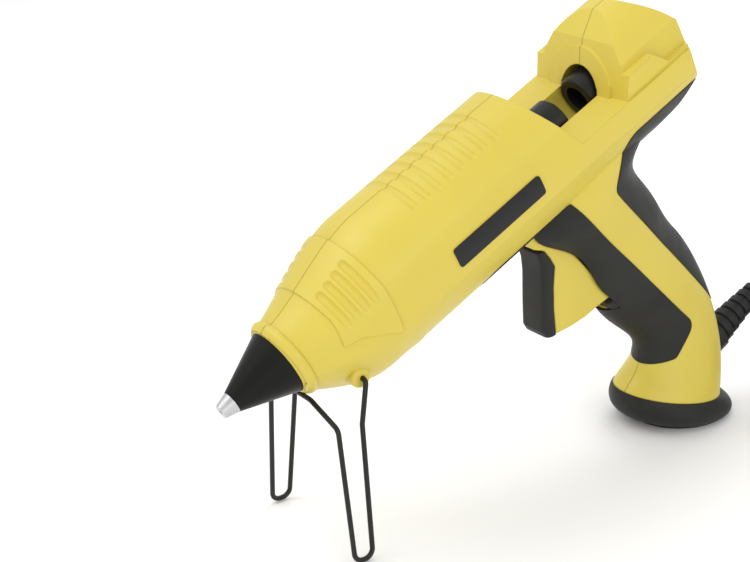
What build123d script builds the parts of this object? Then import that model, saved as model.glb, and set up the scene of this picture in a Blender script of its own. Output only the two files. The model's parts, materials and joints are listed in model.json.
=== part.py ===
from build123d import *
import math
import os

# Trigger-fed hot glue gun, standing on its foot and its folded-out wire stand.
# All lengths in millimetres, all angles in degrees.
#
# Everything is modelled in the gun's own frame: the glue stick runs along X, the nozzle's
# mouth is at X = 0, Y is across (the gun's left is -Y) and Z is square to the barrel.
# place() then tips the gun nose-down onto the table: the foot's flat face lands on Z = 0
# with its centre at the origin.

# ---------------------------------------------------------------- driving sizes: shell
wall = 2.6                     # moulded housing wall
seam_gap = 0.24                # parting line between the two housing halves
run_gap = 0.35                 # between a moving piece and what it passes
seat_gap = 0.05                # between pieces that are fixed to each other
pin_gap = 0.05                 # radial, between a pin and the hole that turns on it

barrel_radius = 32.4           # round top of the barrel
crease_z = 15.8                # where the round top turns into the flat side
side_half_width = 31.0         # flat side, at the level of the ledges
ledge_z = 3.3                  # ledges beside the open stick way
flank_half_width = 30.2        # lower crease of the flat side
flank_z = -8.8
belly_half_width = 21.5        # bulge of the lower flank
belly_z = -23.8
keel_half_width = 9.5
keel_z = -34.8
keel_depth = 37.9              # underside, below the stick's axis

collar_x = 32.0                # front lip of the housing
collar_radius = 16.2
nose_end_x = 90.0              # the nose has grown into the full barrel here
nose_side_x = 84.0             # and has its full width here
nose_keel_x = 68.0             # and its full depth here
barrel_rear_x = 177.8          # top of the slanted rear face
barrel_foot_x = 191.0          # bottom of the slanted rear face, on the ledges
body_rear_x = 270.0            # overall length from the nozzle's mouth

# ---------------------------------------------------------------- driving sizes: rear ring
ring_foot_x = 221.2            # front face of the ring, on the ledges
ring_brow_x = 231.8            # front face of the ring, at its top edge
ring_brow_z = 24.0
ring_top_x = 242.6             # the top chamfer ends here
ring_foot_half_width = 26.8
ring_shoulder_half_width = 24.7
ring_shoulder_z = 16.5
ring_temple_half_width = 20.0
ring_temple_z = 23.0
cheek_half_width = 30.0        # raised cheeks beside the ring
cheek_z = 13.6
cheek_step_x = 242.6
cheek_low_x = 250.0
cheek_low_z = 4.9
arch_radius = 12.0             # arched mouth in the ring's front face
arch_z = 2.0                   # centre of the arch
arch_depth_x = 233.5           # the mouth ends here, against the sleeve's seat
lip_half_width = 19.8          # raised lip round the arch
lip_top_z = 21.4
lip_height = 1.4
rear_top_x = 251.0             # the rear rolls over from here
rear_roll = (264.0, 17.5)
rear_tuck = (268.3, -8.5)
tang_x = 261.5                 # where the rear meets the top of the handle
tang_z = -15.0
plan_corner_x = 262.0          # rear rounding seen from above

# ---------------------------------------------------------------- driving sizes: stick way
stick_bore = 6.5
slot_half_width = 11.8         # open stick way between the ledges
tube_radius = 10.8             # black tubes round the stick
trough_wall = 1.8
trough_front_x = 187.5
sleeve_front_x = 217.4
sleeve_rear_x = 266.0
sleeve_flange_x = 240.0
sleeve_flange_width = 3.0
sleeve_flange_radius = 13.0
funnel_radius = 8.2            # the sleeve's bore widens to this at the rear

# ---------------------------------------------------------------- driving sizes: nozzle
mouth_radius = 1.1
tip_front_radius = 3.3
tip_length = 6.4               # bare metal in front of the insulating cone
tip_radius = 5.0
tip_stem_radius = 4.2
hex_front_x = 16.0
hex_rear_x = 21.0
hex_radius = 6.6
thread_radius = 5.0
thread_rear_x = 31.0
valve_front_x = 9.0
valve_radius = 2.2
ball_radius = 2.0
bush_front_x = 24.0
bush_rear_x = 27.0
cone_base_radius = 15.6        # base of the insulating cone, against the housing's lip
cone_wall = 1.7
skirt_radius = 13.3            # the cone's skirt inside the housing's lip
skirt_rear_x = 38.5
lip_collar_rear_x = 36.5

# ---------------------------------------------------------------- driving sizes: melt chamber
chamber_radius = 10.5
chamber_neck_radius = 8.2
chamber_front_x = 22.0
chamber_rear_x = 108.0
chamber_tail_x = 116.0         # tail that the inlet sleeve grips
chamber_tail_radius = 8.6
melt_front_x = 36.0            # the melt bore widens from here
melt_rear_x = 62.0
melt_radius = 2.6
lobe_front_x = 52.0            # heater lobe under the chamber
lobe_rear_x = 100.5
lobe_half_width = 9.0
lobe_z = -21.5
heater_front_x = 51.3
heater_rear_x = 101.2
heater_half_width = 6.6
heater_low_z = -16.5
heater_high_z = -11.9
clamp_front_x = 70.0
clamp_rear_x = 84.0
clamp_leaf = 1.0
clamp_top_z = -12.0
fuse_radius = 1.9
plate_radius = 14.4            # mica plates that carry the chamber
plate_thickness = 1.8
plate_front_x = 41.1
plate_rear_x = 103.6
plate_rib = 2.0                # housing rib on each side of a plate
plate_lap = 2.5                # how far the rib reaches in over the plate

inlet_rear_x = 130.0
inlet_radius = 10.2
clip_front_x = 110.5
clip_width = 4.0
clip_thickness = 1.0

# ---------------------------------------------------------------- driving sizes: feed
carriage_front_x = 137.5
carriage_rear_x = 202.5
guide_front_x = 139.5          # housing ribs that guide the carriage
guide_front_width = 3.0
guide_rear_x = 184.5
guide_rear_width = 3.0
spring_ring_x = 157.0          # ring on the carriage that the spring pushes
spring_ring_width = 3.0
spring_ring_radius = 13.4
spring_wire = 1.1
spring_radius = 12.2
spring_turns = 4.0
lug_front_x = 161.5            # lug under the carriage
lug_rear_x = 184.0
lug_half_width = 5.0
lug_z = -18.5

trigger_angle = 20.0           # full pull
pivot_x = 164.6
pivot_z = -28.0
pivot_radius = 2.5
pivot_half_length = 12.4
pivot_boss_radius = 5.0
hub_radius = 7.0
drive_z = -15.0                # cross pin on the carriage
drive_radius = 1.8
drive_half_length = 8.6
fork_inner = 5.35              # fork cheeks beside the lug
fork_outer = 8.3
fork_stock = 2.2               # round the fork's slot
trigger_half_width = 9.0
trigger_wall = 2.6
pad_half_width = 9.4
slot_gap = 0.45                # trigger to the sides of its slot
slot_front_x = 156.0
slot_low_z = -104.0

pawl_x = 176.5                 # clamp pawl in the carriage's lug
pawl_z = -14.5
pawl_pin_radius = 1.25
pawl_half_width = 2.6
pawl_hub = 3.0
pawl_window_front_x = 169.9
pawl_window_rear_x = 181.6
pawl_line = [(174.2, -17.0), (178.8, -16.6), (179.2, -12.6), (174.0, -7.0), (171.3, -6.7), (171.7, -9.0)]

# ---------------------------------------------------------------- driving sizes: stand
stand_tilt = 29.3              # barrel to table
foot_x = 204.2                 # centre of the foot's flat face, in the gun's frame
foot_z = -195.4
stand_wire = 2.3
stand_pivot_x = 53.2
stand_pivot_z = -19.0
stand_boss_radius = 4.8
stand_boss_half_span = 22.0    # outer faces of the two bosses
stand_pin_depth = 7.0
stand_hip_y = 24.6             # the wire turns down here, beside the boss
stand_rear_knee = (41.5, 25.9, -34.3)
stand_front_knee = (31.0, 26.3, -27.4)
stand_toe_x = 9.0
stand_toe_y = 33.3
stand_toe_half_length = 4.6
stand_bend = 2.6
stand_bar = (33.0, 8.5, -19.8) # end of the crossbar under the lip

# ---------------------------------------------------------------- driving sizes: grips, foot
grip_depth = 1.2               # soft grips are let into the housing
grip_proud = 0.35
foot_edge = 2.2                # height of the rounded edge above the flat face
foot_flat = (27.0, 22.5)       # half length and half width of the flat face
foot_side = (29.8, 25.0)       # the same, above the rounded edge
floor_thickness = 2.6          # floor across the handle, above the foot
foot_screw_spread = 12.0
foot_screw_up = 4.5
foot_screw_down = 8.0
foot_boss_radius = 4.2

screw_radius = 1.5
screw_head_radius = 3.0
screw_head = 2.2
screw_boss_radius = 4.4
screw_seat_y = 8.0
screw_tip_y = -9.0
screw_places = [(130.0, 22.0), (94.0, -29.5), (136.0, -30.0), (237.0, -20.5), (217.8, -54.0), (228.0, -118.0)]

rib_count = 8                  # grip ribs across the top of the barrel
rib_first_x = 112.0
rib_pitch = 6.9
rib_scoop = 2.6                # radius of the scoop between ribs
rib_depth = 0.9
rib_sweep = 66.0
flute_count = 4                # flutes on each nose panel
flute_first_x = 57.5
flute_pitch = 5.0
flute_scoop = 2.2
flute_depth = 1.0
flute_from = 24.0              # degrees down from the top seam
flute_to = 60.0
panel_height = 0.8             # nose panels stand this proud

# ---------------------------------------------------------------- driving sizes: cord
cord_radius = 3.25
boot_x = 238.2                 # the strain relief leaves the handle here
boot_z = -174.0
boot_pitch = 3.2               # its axis, from the gun's X
boot_length = 38.0
boot_flange_radius = 9.5
boot_neck_radius = 7.0
boot_collar_radius = 9.0
boot_root_radius = 8.0
boot_end_radius = 4.7
boot_rings = 6
boot_groove = 1.1

terminal_x = 219.0             # the leads enter the block here
terminal_front_x = 212.0
terminal_rear_x = 226.0
terminal_half_width = 8.0
terminal_low_z = -148.0
terminal_high_z = -136.0
cord_end_x = 221.5             # the cord's sheath ends here, inside the handle
saddle_front_x = 222.5         # cord clamp, just inside the strain relief
saddle_rear_x = 228.5
saddle_half_width = 11.5
saddle_top_z = -169.0
saddle_seat_z = -175.0         # joint between the clamp and the rib under it
saddle_rib_z = -186.0
saddle_screw_y = 8.0
saddle_screw_radius = 1.2
saddle_screw_depth = 6.0       # in the rib
lead_radius = 0.8
lead_y = 15.0                  # the leads run beside the trigger
lead_z = -20.0

# free cord, on the table: its first stretch goes on from the strain relief
first_run = 35.3
fall_points = [(119.0, -2.0, 69.5), (145.0, -15.0, 49.0), (150.0, -41.0, 31.0), (140.0, -63.0, 18.0)]
coil_centre = (115.0, -37.5)
coil_outer_radius = 40.8
coil_inner_radius = 24.3
coil_height = 26.2
tail_points = [(112.0, -74.4, 3.4), (95.0, -73.8, 3.8), (79.0, -67.4, 5.4), (64.0, -65.5, 7.0)]
plug_length = 36.0
plug_width = 26.0
plug_height = 14.0
plug_pin_radius = 2.0
plug_pin_spacing = 19.0
plug_pin_length = 19.0

sin_tilt = math.sin(math.radians(stand_tilt))
cos_tilt = math.cos(math.radians(stand_tilt))

# handle stations: front point (x, z), rear point (x, z) and half width
handle_stations = [
    ((166.0, -18.0), (259.0, -18.0), 23.0),
    ((160.0, -30.0), (243.0, -29.0), 22.6),
    ((161.0, -42.0), (229.8, -41.0), 21.3),
    ((171.2, -55.0), (230.2, -54.0), 19.6),
    ((178.0, -76.0), (235.2, -75.0), 18.0),
    ((182.8, -98.5), (240.4, -97.0), 16.5),
    ((190.0, -121.0), (244.8, -118.0), 15.2),
    ((196.2, -136.0), (246.0, -136.0), 14.8),
    ((194.8, -148.0), (244.6, -157.0), 16.6),
    ((187.0, -154.8), (237.8, -179.0), 20.6),
    ((178.7, -158.4), (227.3, -196.2), 24.5),
]

# the same for the foot, from the joint downward; the flat face and its edge follow by formula
foot_stations = [
    ((178.2, -158.0), (227.8, -196.6), 25.0),
    ((173.6, -163.6), (230.6, -201.0), 26.4),
    ((174.2, -171.5), (231.9, -204.6), 26.8),
]

# underside of the rear, from the tang down into the back of the handle
tang_line = [(253.5, -24.7), (242.6, -30.2), (232.7, -34.9), (229.0, -41.5)]

# finger face of the trigger pad, and the joint between the pad and the trigger behind it
pad_front = [(157.6, -44.6), (160.2, -50.6), (158.8, -58.4), (151.0, -70.8), (143.6, -84.0)]
pad_back = [(150.6, -84.6), (157.6, -72.0), (164.2, -60.0), (166.0, -53.6), (163.6, -46.8)]

trigger_sole = [(144.9, -88.4), (149.4, -93.2), (154.8, -97.1), (161.2, -100.2), (167.9, -102.1),
                (177.0, -102.3), (186.0, -100.4)]

front_grip_line = [(127.5, -64.0), (127.5, -27.4), (181.0, -27.4), (222.6, -141.5), (205.5, -151.8),
                   (150.0, -143.0)]
rear_grip_line = [(276.0, -14.8), (218.6, -14.8), (204.6, -38.6), (244.2, -148.4), (276.0, -160.0)]
front_grip_corners = [0, 9, 0, 6, 5, 0]
rear_grip_corners = [0, 8, 6, 5, 0]
panel_line = [(51.6, 45.0), (54.0, 14.0), (52.0, 2.0), (60.0, 1.6), (69.0, -3.6), (76.4, -8.6),
              (78.4, 14.0), (77.6, 45.0)]


# ================================================================ helpers

def place(shape):
    """Tips a piece from the gun's frame onto the table."""
    return Rot(0, -stand_tilt, 0) * (Pos(-foot_x, 0, -foot_z) * shape)


def side_prism(points, y_from, y_to, radii=None):
    """Straight-sided prism across the gun, from an outline in side view."""
    outline = Polyline(*[(x, 0, z) for x, z in points], close=True)
    face = Face(Wire(outline.edges()))
    for (x, z), radius in zip(points, radii or []):
        if radius:
            corner = face.vertices().sort_by_distance((x, 0, z))[0]
            face = face.fillet_2d(radius, [corner])
    return Pos(0, y_from, 0) * extrude(face, amount=y_to - y_from, dir=(0, 1, 0))


def tube_x(x_from, x_to, radius, z=0.0):
    """Solid round bar along X."""
    length = x_to - x_from
    return Pos(x_from + length / 2, 0, z) * Rot(0, 90, 0) * Cylinder(radius, length)


def bar_y(x, z, radius, y_from, y_to):
    """Solid round bar across the gun."""
    return Pos(x, (y_from + y_to) / 2, z) * Rot(90, 0, 0) * Cylinder(radius, y_to - y_from)


def block(x_from, x_to, y_from, y_to, z_from, z_to):
    size = (x_to - x_from, y_to - y_from, z_to - z_from)
    middle = ((x_from + x_to) / 2, (y_from + y_to) / 2, (z_from + z_to) / 2)
    return Pos(*middle) * Box(*size)


def turned(points):
    """Turns an outline of (x, radius) points round the stick's axis."""
    outline = Polyline(*[(x, 0, r) for x, r in points], close=True)
    return revolve(Face(Wire(outline.edges())), Axis.X, 360)


def line_xz(start, end):
    return Line((start[0], 0, start[1]), (end[0], 0, end[1]))


def arc_xz(start, middle, end):
    return ThreePointArc((start[0], 0, start[1]), (middle[0], 0, middle[1]), (end[0], 0, end[1]))


def joined(shapes):
    """Fuses a list of solids."""
    result = shapes[0]
    for shape in shapes[1:]:
        result = result + shape
    return result


def cut_away(body, cuts):
    for cut in cuts:
        body = body - cut
    return body


def pipe(points, bend, radius):
    """Round wire or cord along straight runs with rounded bends."""
    path = FilletPolyline(*points, radius=bend)
    start = Plane(origin=path @ 0, z_dir=path % 0)
    return sweep(start * Circle(radius), path=path)


def smooth(t):
    return t * t * (3 - 2 * t)


# ================================================================ outer form

def section_face(x, top, side, keel, inset):
    """One cross-section of barrel or nose: round top, flat side, tapered flank."""
    tall = (top - inset) / barrel_radius
    wide = (side - inset) / side_half_width
    deep = (keel - inset) / keel_depth
    crease_y = math.sqrt(barrel_radius ** 2 - crease_z ** 2)
    rows = [
        (crease_y * wide, crease_z * tall),
        (side_half_width * wide, ledge_z * tall),
        (flank_half_width * wide, flank_z * deep),
        (belly_half_width * wide, belly_z * deep),
        (keel_half_width * wide, keel_z * deep),
    ]
    right = [Vector(x, y, z) for y, z in rows]
    left = [Vector(x, -y, z) for y, z in rows]
    edges = [
        ThreePointArc(left[0], Vector(x, 0, top - inset), right[0]),
        ThreePointArc(right[0], right[1], right[2]),
        ThreePointArc(right[2], right[3], right[4]),
        ThreePointArc(right[4], Vector(x, 0, inset - keel), left[4]),
        ThreePointArc(left[4], left[3], left[2]),
        ThreePointArc(left[2], left[1], left[0]),
    ]
    return Face(Wire(edges))


def nose_size(x):
    """Top, side and keel of the nose at x."""
    along = (x - collar_x) / (nose_end_x - collar_x)
    top = collar_radius + (barrel_radius - collar_radius) * (0.30 * along + 0.70 * smooth(along))
    side_part = min(1.0, (x - collar_x) / (nose_side_x - collar_x))
    side = collar_radius + (side_half_width - collar_radius) * math.sin(math.pi / 2 * side_part)
    keel_part = min(1.0, (x - collar_x) / (nose_keel_x - collar_x))
    keel = collar_radius + (keel_depth - collar_radius) * (1 - (1 - keel_part) ** 1.5)
    return top, side, keel


def nose_form(inset):
    count = 9
    faces = []
    for i in range(count):
        x = collar_x + (nose_end_x - collar_x) * i / (count - 1)
        faces.append(section_face(x, *nose_size(x), inset))
    return loft(faces)


def barrel_form(inset):
    face = section_face(nose_end_x, barrel_radius, side_half_width, keel_depth, inset)
    return extrude(face, amount=body_rear_x + 5 - nose_end_x, dir=(1, 0, 0))


def handle_form(inset):
    faces = []
    for front, rear, half_width in handle_stations:
        run_x = rear[0] - front[0]
        run_z = rear[1] - front[1]
        half_length = math.hypot(run_x, run_z) / 2
        middle = ((front[0] + rear[0]) / 2, 0, (front[1] + rear[1]) / 2)
        plane = Plane(origin=middle, x_dir=(run_x, 0, run_z), z_dir=(run_z, 0, -run_x))
        faces.append(plane * Ellipse(half_length - inset, half_width - inset).face())
    return loft(faces)


def rear_limit(inset):
    """Rounds the rear in side view and in plan."""
    high = 50.0
    low = -70.0
    front = 60.0
    roll_start = (rear_top_x - inset, barrel_radius - inset)
    back_x = body_rear_x - inset
    tang = (tang_x - 0.6 * inset, tang_z + 0.8 * inset)
    tail = [(x - 0.45 * inset, z + 0.9 * inset) for x, z in tang_line]
    edges = [
        line_xz((front, low), (front, high)),
        line_xz((front, high), (roll_start[0], high)),
        line_xz((roll_start[0], high), roll_start),
        arc_xz(roll_start, (rear_roll[0] - inset, rear_roll[1] - 0.5 * inset), (back_x, 0)),
        arc_xz((back_x, 0), (rear_tuck[0] - inset, rear_tuck[1]), tang),
        line_xz(tang, tail[0]),
        arc_xz(tail[0], tail[1], tail[2]),
        line_xz(tail[2], tail[3]),
        line_xz(tail[3], (tail[3][0], low)),
        line_xz((tail[3][0], low), (front, low)),
    ]
    side = Face(Wire(edges))
    corner_x = plan_corner_x
    half = side_half_width - inset
    plan = Face(Wire([
        Line((front, -50, 0), (corner_x, -50, 0)),
        Line((corner_x, -50, 0), (corner_x, -half, 0)),
        ThreePointArc((corner_x, -half, 0), (back_x, 0, 0), (corner_x, half, 0)),
        Line((corner_x, half, 0), (corner_x, 50, 0)),
        Line((corner_x, 50, 0), (front, 50, 0)),
        Line((front, 50, 0), (front, -50, 0)),
    ]))
    side_solid = Pos(0, -60, 0) * extrude(side, amount=120, dir=(0, 1, 0))
    plan_solid = Pos(0, 0, -80) * extrude(plan, amount=140, dir=(0, 0, 1))
    return side_solid & plan_solid


def gap_cut(inset):
    """The open stretch between the barrel and the rear ring, above the ledges."""
    high = 60.0
    lean = (barrel_foot_x - barrel_rear_x) / (barrel_radius - ledge_z)
    top_x = barrel_rear_x - lean * (high - barrel_radius) - inset
    foot_x_here = barrel_foot_x - inset
    points = [(top_x, high), (foot_x_here, ledge_z - inset), (body_rear_x + 20, ledge_z - inset),
              (body_rear_x + 20, high)]
    return side_prism(points, -60, 60)


def skin(inset):
    """Barrel, nose and handle without the ring, at a depth below the outer surface."""
    barrel = (barrel_form(inset) & rear_limit(inset)) - gap_cut(inset)
    return nose_form(inset) + barrel + handle_form(inset)


def ring_core(start, inset):
    """The ring's section, run back from start."""
    shoulder = [(ring_foot_half_width - inset, -6.0), (ring_foot_half_width - inset, 5.0),
                (ring_shoulder_half_width - inset, ring_shoulder_z - 0.5 * inset),
                (ring_temple_half_width - 0.8 * inset, ring_temple_z - 0.8 * inset)]
    right = [Vector(start, y, z) for y, z in shoulder]
    left = [Vector(start, -y, z) for y, z in shoulder]
    edges = [Line(left[i], left[i + 1]) for i in range(3)]
    edges.append(ThreePointArc(left[3], Vector(start, 0, barrel_radius - inset), right[3]))
    edges += [Line(right[i + 1], right[i]) for i in reversed(range(3))]
    edges.append(Line(right[0], left[0]))
    return extrude(Face(Wire(edges)), amount=body_rear_x - start, dir=(1, 0, 0))


def ring_cavity():
    """Hollow of the ring, behind the arch."""
    start = arch_depth_x + wall
    under_chamfer = side_prism([(start, -10), (start, 22.5), (ring_top_x, barrel_radius - wall),
                                (body_rear_x, 40), (body_rear_x, -10)], -60, 60)
    return ring_core(start, wall) & under_chamfer & rear_limit(wall)


def ring_form():
    """Rear ring with its raised cheeks and the lip round the arch."""
    core = ring_core(ring_foot_x - 8, 0)

    lean = (ring_brow_x - ring_foot_x) / (ring_brow_z - ledge_z)
    foot_low_x = ring_foot_x - lean * (ledge_z + 10)
    profile = [(foot_low_x, -10.0), (ring_brow_x, ring_brow_z), (ring_top_x, barrel_radius),
               (ring_top_x, 40.0), (body_rear_x + 5, 40.0), (body_rear_x + 5, -10.0)]
    core = core & side_prism(profile, -60, 60)

    cheek_front_x = ring_foot_x + lean * (cheek_z - ledge_z)
    cheek = [(foot_low_x, -10.0), (cheek_front_x, cheek_z), (cheek_step_x, cheek_z),
             (cheek_low_x, cheek_low_z), (body_rear_x + 5, cheek_low_z), (body_rear_x + 5, -10.0)]
    cheeks = side_prism(cheek, -cheek_half_width, cheek_half_width)

    lip_low = 8.0
    lip_face = Face(Wire([
        Line((0, -lip_half_width, -lip_low), (0, -lip_half_width, lip_low)),
        ThreePointArc((0, -lip_half_width, lip_low), (0, 0, lip_top_z), (0, lip_half_width, lip_low)),
        Line((0, lip_half_width, lip_low), (0, lip_half_width, -lip_low)),
        Line((0, lip_half_width, -lip_low), (0, -lip_half_width, -lip_low)),
    ]))
    lip = Pos(ring_foot_x - 12, 0, 0) * extrude(lip_face, amount=30, dir=(1, 0, 0))
    lip_profile = [(foot_low_x - lip_height, -10.0), (ring_brow_x - lip_height, ring_brow_z),
                   (ring_brow_x + 10, ring_brow_z), (ring_brow_x + 10, -10.0)]
    lip = lip & side_prism(lip_profile, -60, 60)
    return ((core + cheeks) & rear_limit(0)) + lip


def stick_way_cut():
    """Arched mouth in the ring and the round-bottomed way between the ledges."""
    front = ring_foot_x - 15
    arch = tube_x(front, arch_depth_x, arch_radius, arch_z) & block(front, arch_depth_x, -20, 20, arch_z, 40)
    neck = block(trough_front_x, arch_depth_x, -slot_half_width, slot_half_width, 0, arch_z)
    floor = tube_x(trough_front_x, arch_depth_x, slot_half_width) & block(0, 300, -20, 20, -20, 0)
    opening = block(barrel_foot_x, ring_foot_x, -slot_half_width, slot_half_width, 0, ledge_z + 5)
    return [arch, neck, floor, opening]


def scoop(x, centre_z, radius, scoop_radius, depth, start, sweep):
    """Round-bottomed groove round a cylinder along X, with ball ends."""
    reach = radius + scoop_radius - depth
    profile = Plane(origin=(x, 0, centre_z + reach), x_dir=(1, 0, 0), z_dir=(0, -1, 0)) * Circle(scoop_radius)
    axis = Axis((0, 0, centre_z), (1, 0, 0))
    parts = [revolve(profile.face(), axis, sweep).rotate(axis, start)]
    for angle in (start, start + sweep):
        turn = math.radians(angle)
        end = Pos(x, -reach * math.sin(turn), centre_z + reach * math.cos(turn))
        parts.append(end * Sphere(scoop_radius))
    return joined(parts)


def rib_cuts():
    cuts = []
    for i in range(rib_count):
        cuts.append(scoop(rib_first_x + i * rib_pitch, 0, barrel_radius, rib_scoop, rib_depth,
                          -rib_sweep / 2, rib_sweep))
    return cuts


def nose_panels():
    """Raised panels on the sides of the nose."""
    face_line = side_prism(panel_line, -60, 60)
    return (nose_form(-panel_height) - nose_form(1.0)) & face_line


def flute_cuts():
    cuts = []
    for i in range(flute_count):
        x = flute_first_x + i * flute_pitch
        top, side, keel = nose_size(x)
        half_chord = math.sqrt(barrel_radius ** 2 - crease_z ** 2) * (side + panel_height) / side_half_width
        sagitta = (top + panel_height) * (1 - crease_z / barrel_radius)
        radius = (half_chord ** 2 + sagitta ** 2) / (2 * sagitta)
        centre_z = top + panel_height - radius
        for start in (flute_from, -flute_to):
            cuts.append(scoop(x, centre_z, radius, flute_scoop, flute_depth, start, flute_to - flute_from))
    return cuts


def stand_bosses():
    bosses = []
    for side in (-1, 1):
        y_in = side * (stand_boss_half_span - 12)
        y_out = side * stand_boss_half_span
        boss = bar_y(stand_pivot_x, stand_pivot_z, stand_boss_radius, min(y_in, y_out), max(y_in, y_out))
        rim = boss.edges().filter_by(GeomType.CIRCLE).sort_by(Axis.Y)[-1 if side > 0 else 0]
        bosses.append(fillet(rim, 1.8))
    return bosses


# ================================================================ housing

def cavity_form():
    return skin(wall) + ring_cavity()


def cross_rib(x_from, x_to, low=-60):
    """Rib across the inside of the housing."""
    return block(x_from, x_to, -60, 60, low, 60)


def plate_ribs(plate_x):
    """A pair of ribs with the groove that holds a mica plate."""
    rib = cross_rib(plate_x - plate_rib, plate_x + plate_thickness + plate_rib)
    opening = tube_x(plate_x - 5, plate_x + 7, plate_radius - plate_lap)
    groove = tube_x(plate_x - seat_gap, plate_x + plate_thickness + seat_gap, plate_radius + seat_gap)
    return rib - opening - groove


def seam_frame():
    """Middle and directions of the joint between handle and foot."""
    front, rear, half_width = handle_stations[-1]
    middle = Vector((front[0] + rear[0]) / 2, 0, (front[1] + rear[1]) / 2)
    along = Vector(rear[0] - front[0], 0, rear[1] - front[1]).normalized()
    up = Vector(-along.Z, 0, along.X)
    return middle, along, up


def foot_screw_axis(side):
    middle, along, up = seam_frame()
    return middle + along * (side * foot_screw_spread), up


def rod_along(start, direction, length, radius):
    plane = Plane(origin=start, z_dir=direction)
    return extrude(plane * Circle(radius), amount=length)


def handle_floor():
    """Floor across the handle with the two bosses for the foot's screws."""
    middle, along, up = seam_frame()
    front, rear, half_width = handle_stations[-1]
    half_length = Vector(rear[0] - front[0], 0, rear[1] - front[1]).length / 2
    plane = Plane(origin=middle, x_dir=along, z_dir=up)
    sheet = extrude(plane * Ellipse(half_length - 1.2, half_width - 1.2), amount=floor_thickness)
    for side in (-1, 1):
        start, axis = foot_screw_axis(side)
        sheet = sheet + rod_along(start, axis, foot_screw_up + 2, foot_boss_radius)
    return sheet


def inner_ribs():
    """Everything moulded inside the two halves, run out through the walls."""
    ribs = [
        plate_ribs(plate_front_x),
        plate_ribs(plate_rear_x),
        cross_rib(guide_front_x, guide_front_x + guide_front_width),
        cross_rib(guide_rear_x, guide_rear_x + guide_rear_width, -26),
        cross_rib(arch_depth_x, arch_depth_x + wall),
        cross_rib(sleeve_flange_x - 2.1, sleeve_flange_x + sleeve_flange_width + 2.1),
        trough(),
        block(terminal_rear_x + seat_gap, 260, -6, 6, terminal_low_z + 2, terminal_high_z - 2),
        block(saddle_front_x, saddle_rear_x, -60, 60, saddle_rib_z, saddle_seat_z - seat_gap),
    ]
    for x, z in screw_places:
        ribs.append(bar_y(x, z, screw_boss_radius, -50, 50))
    inner_y = trigger_half_width + slot_gap
    for y_from, y_to in ((-40, -inner_y), (inner_y, 40)):
        ribs.append(bar_y(pivot_x, pivot_z, pivot_boss_radius, y_from, y_to))
    return joined(ribs)


def trough():
    half = slot_half_width + trough_wall
    outer = tube_x(trough_front_x, arch_depth_x, half) & block(0, 300, -20, 20, -20, 0)
    sides = block(trough_front_x, arch_depth_x, -half, half, 0, ledge_z - 0.5 * wall)
    return outer + sides


def stick_line_cuts():
    """Bores along the stick's axis."""
    return joined([
        tube_x(collar_x - 1, skirt_rear_x + 0.5, skirt_radius + seat_gap),
        tube_x(guide_front_x - 1, guide_front_x + guide_front_width + 1, tube_radius + run_gap),
        tube_x(guide_rear_x - 15, trough_front_x + 8, tube_radius + run_gap),
        tube_x(arch_depth_x - 1, body_rear_x + 5, tube_radius + seat_gap),
        tube_x(sleeve_flange_x - seat_gap, sleeve_flange_x + sleeve_flange_width + seat_gap,
               sleeve_flange_radius + seat_gap),
    ] + stick_way_cut())


def small_cuts():
    """Holes and notches that don't touch each other, as one tool."""
    cuts = [
        bar_y(pivot_x, pivot_z, pivot_radius + pin_gap, -pivot_half_length - 0.1, pivot_half_length + 0.1),
        block(plate_rear_x - 3, plate_rear_x + 5, -6.5, 6.5, -26, -plate_radius - seat_gap),
        cord_bore(),
    ]
    for side in (-1, 1):
        cuts.append(Pos(0, side * lead_y, 0) * tube_x(guide_front_x - 2, guide_rear_x + 6, 1.6, lead_z))
        cuts.append(bar_y(stand_pivot_x, stand_pivot_z, stand_wire / 2 + pin_gap,
                          min(side * 14.5, side * 30), max(side * 14.5, side * 30)))
        foot_of_screw = saddle_seat_z - saddle_screw_depth - 0.1
        screw = Vector(saddle_middle_x(), side * saddle_screw_y, foot_of_screw)
        cuts.append(rod_along(screw, Vector(0, 0, 1), saddle_screw_depth + 1, saddle_screw_radius + seat_gap))
        start, axis = foot_screw_axis(side)
        cuts.append(rod_along(start - axis, axis, foot_screw_up + 1.1, screw_radius + seat_gap))
    for x, z in screw_places:
        shank = bar_y(x, z, screw_radius + seat_gap, screw_tip_y - 0.1, screw_seat_y + 1)
        cuts.append(shank + bar_y(x, z, screw_head_radius + 0.3, screw_seat_y, 50))
    return Compound(children=cuts)


def trigger_slot():
    half = trigger_half_width + slot_gap + 0.4
    line = [(slot_front_x, -24), (180, -24), (205, -60), (205, slot_low_z), (120, slot_low_z), (120, -44),
            (slot_front_x, -44)]
    return side_prism(line, -half, half)


def body_form(inset):
    """Barrel and handle only: what the soft grips wrap."""
    barrel = (barrel_form(inset) & rear_limit(inset)) - gap_cut(inset)
    return barrel + handle_form(inset)


def grip_solids():
    layer = body_form(-grip_proud) - body_form(grip_depth)
    front = layer & side_prism(front_grip_line, -60, 60, front_grip_corners)
    rear = layer & side_prism(rear_grip_line, -60, 60, rear_grip_corners)
    return front - trigger_slot(), rear


def half_of(shape, side):
    """One half of a piece that is parted along the middle."""
    y_from, y_to = (seam_gap / 2, 80) if side > 0 else (-80, -seam_gap / 2)
    return shape & block(-20, 320, y_from, y_to, -260, 80)


def housing_solid(grips, boot):
    bosses = stand_bosses()
    inside = cut_away(cavity_form(), [inner_ribs(), handle_floor()] + bosses)
    lip = tube_x(collar_x, lip_collar_rear_x, collar_radius + 0.1)
    outer = joined([skin(0), ring_form(), lip, nose_panels()] + bosses)
    outer = cut_away(outer, flute_cuts() + rib_cuts() + list(grips))
    return cut_away(outer, [inside, stick_line_cuts(), trigger_slot(), boot, small_cuts()])


def largest(shape):
    return shape.solids().sort_by(SortBy.VOLUME)[-1]


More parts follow.
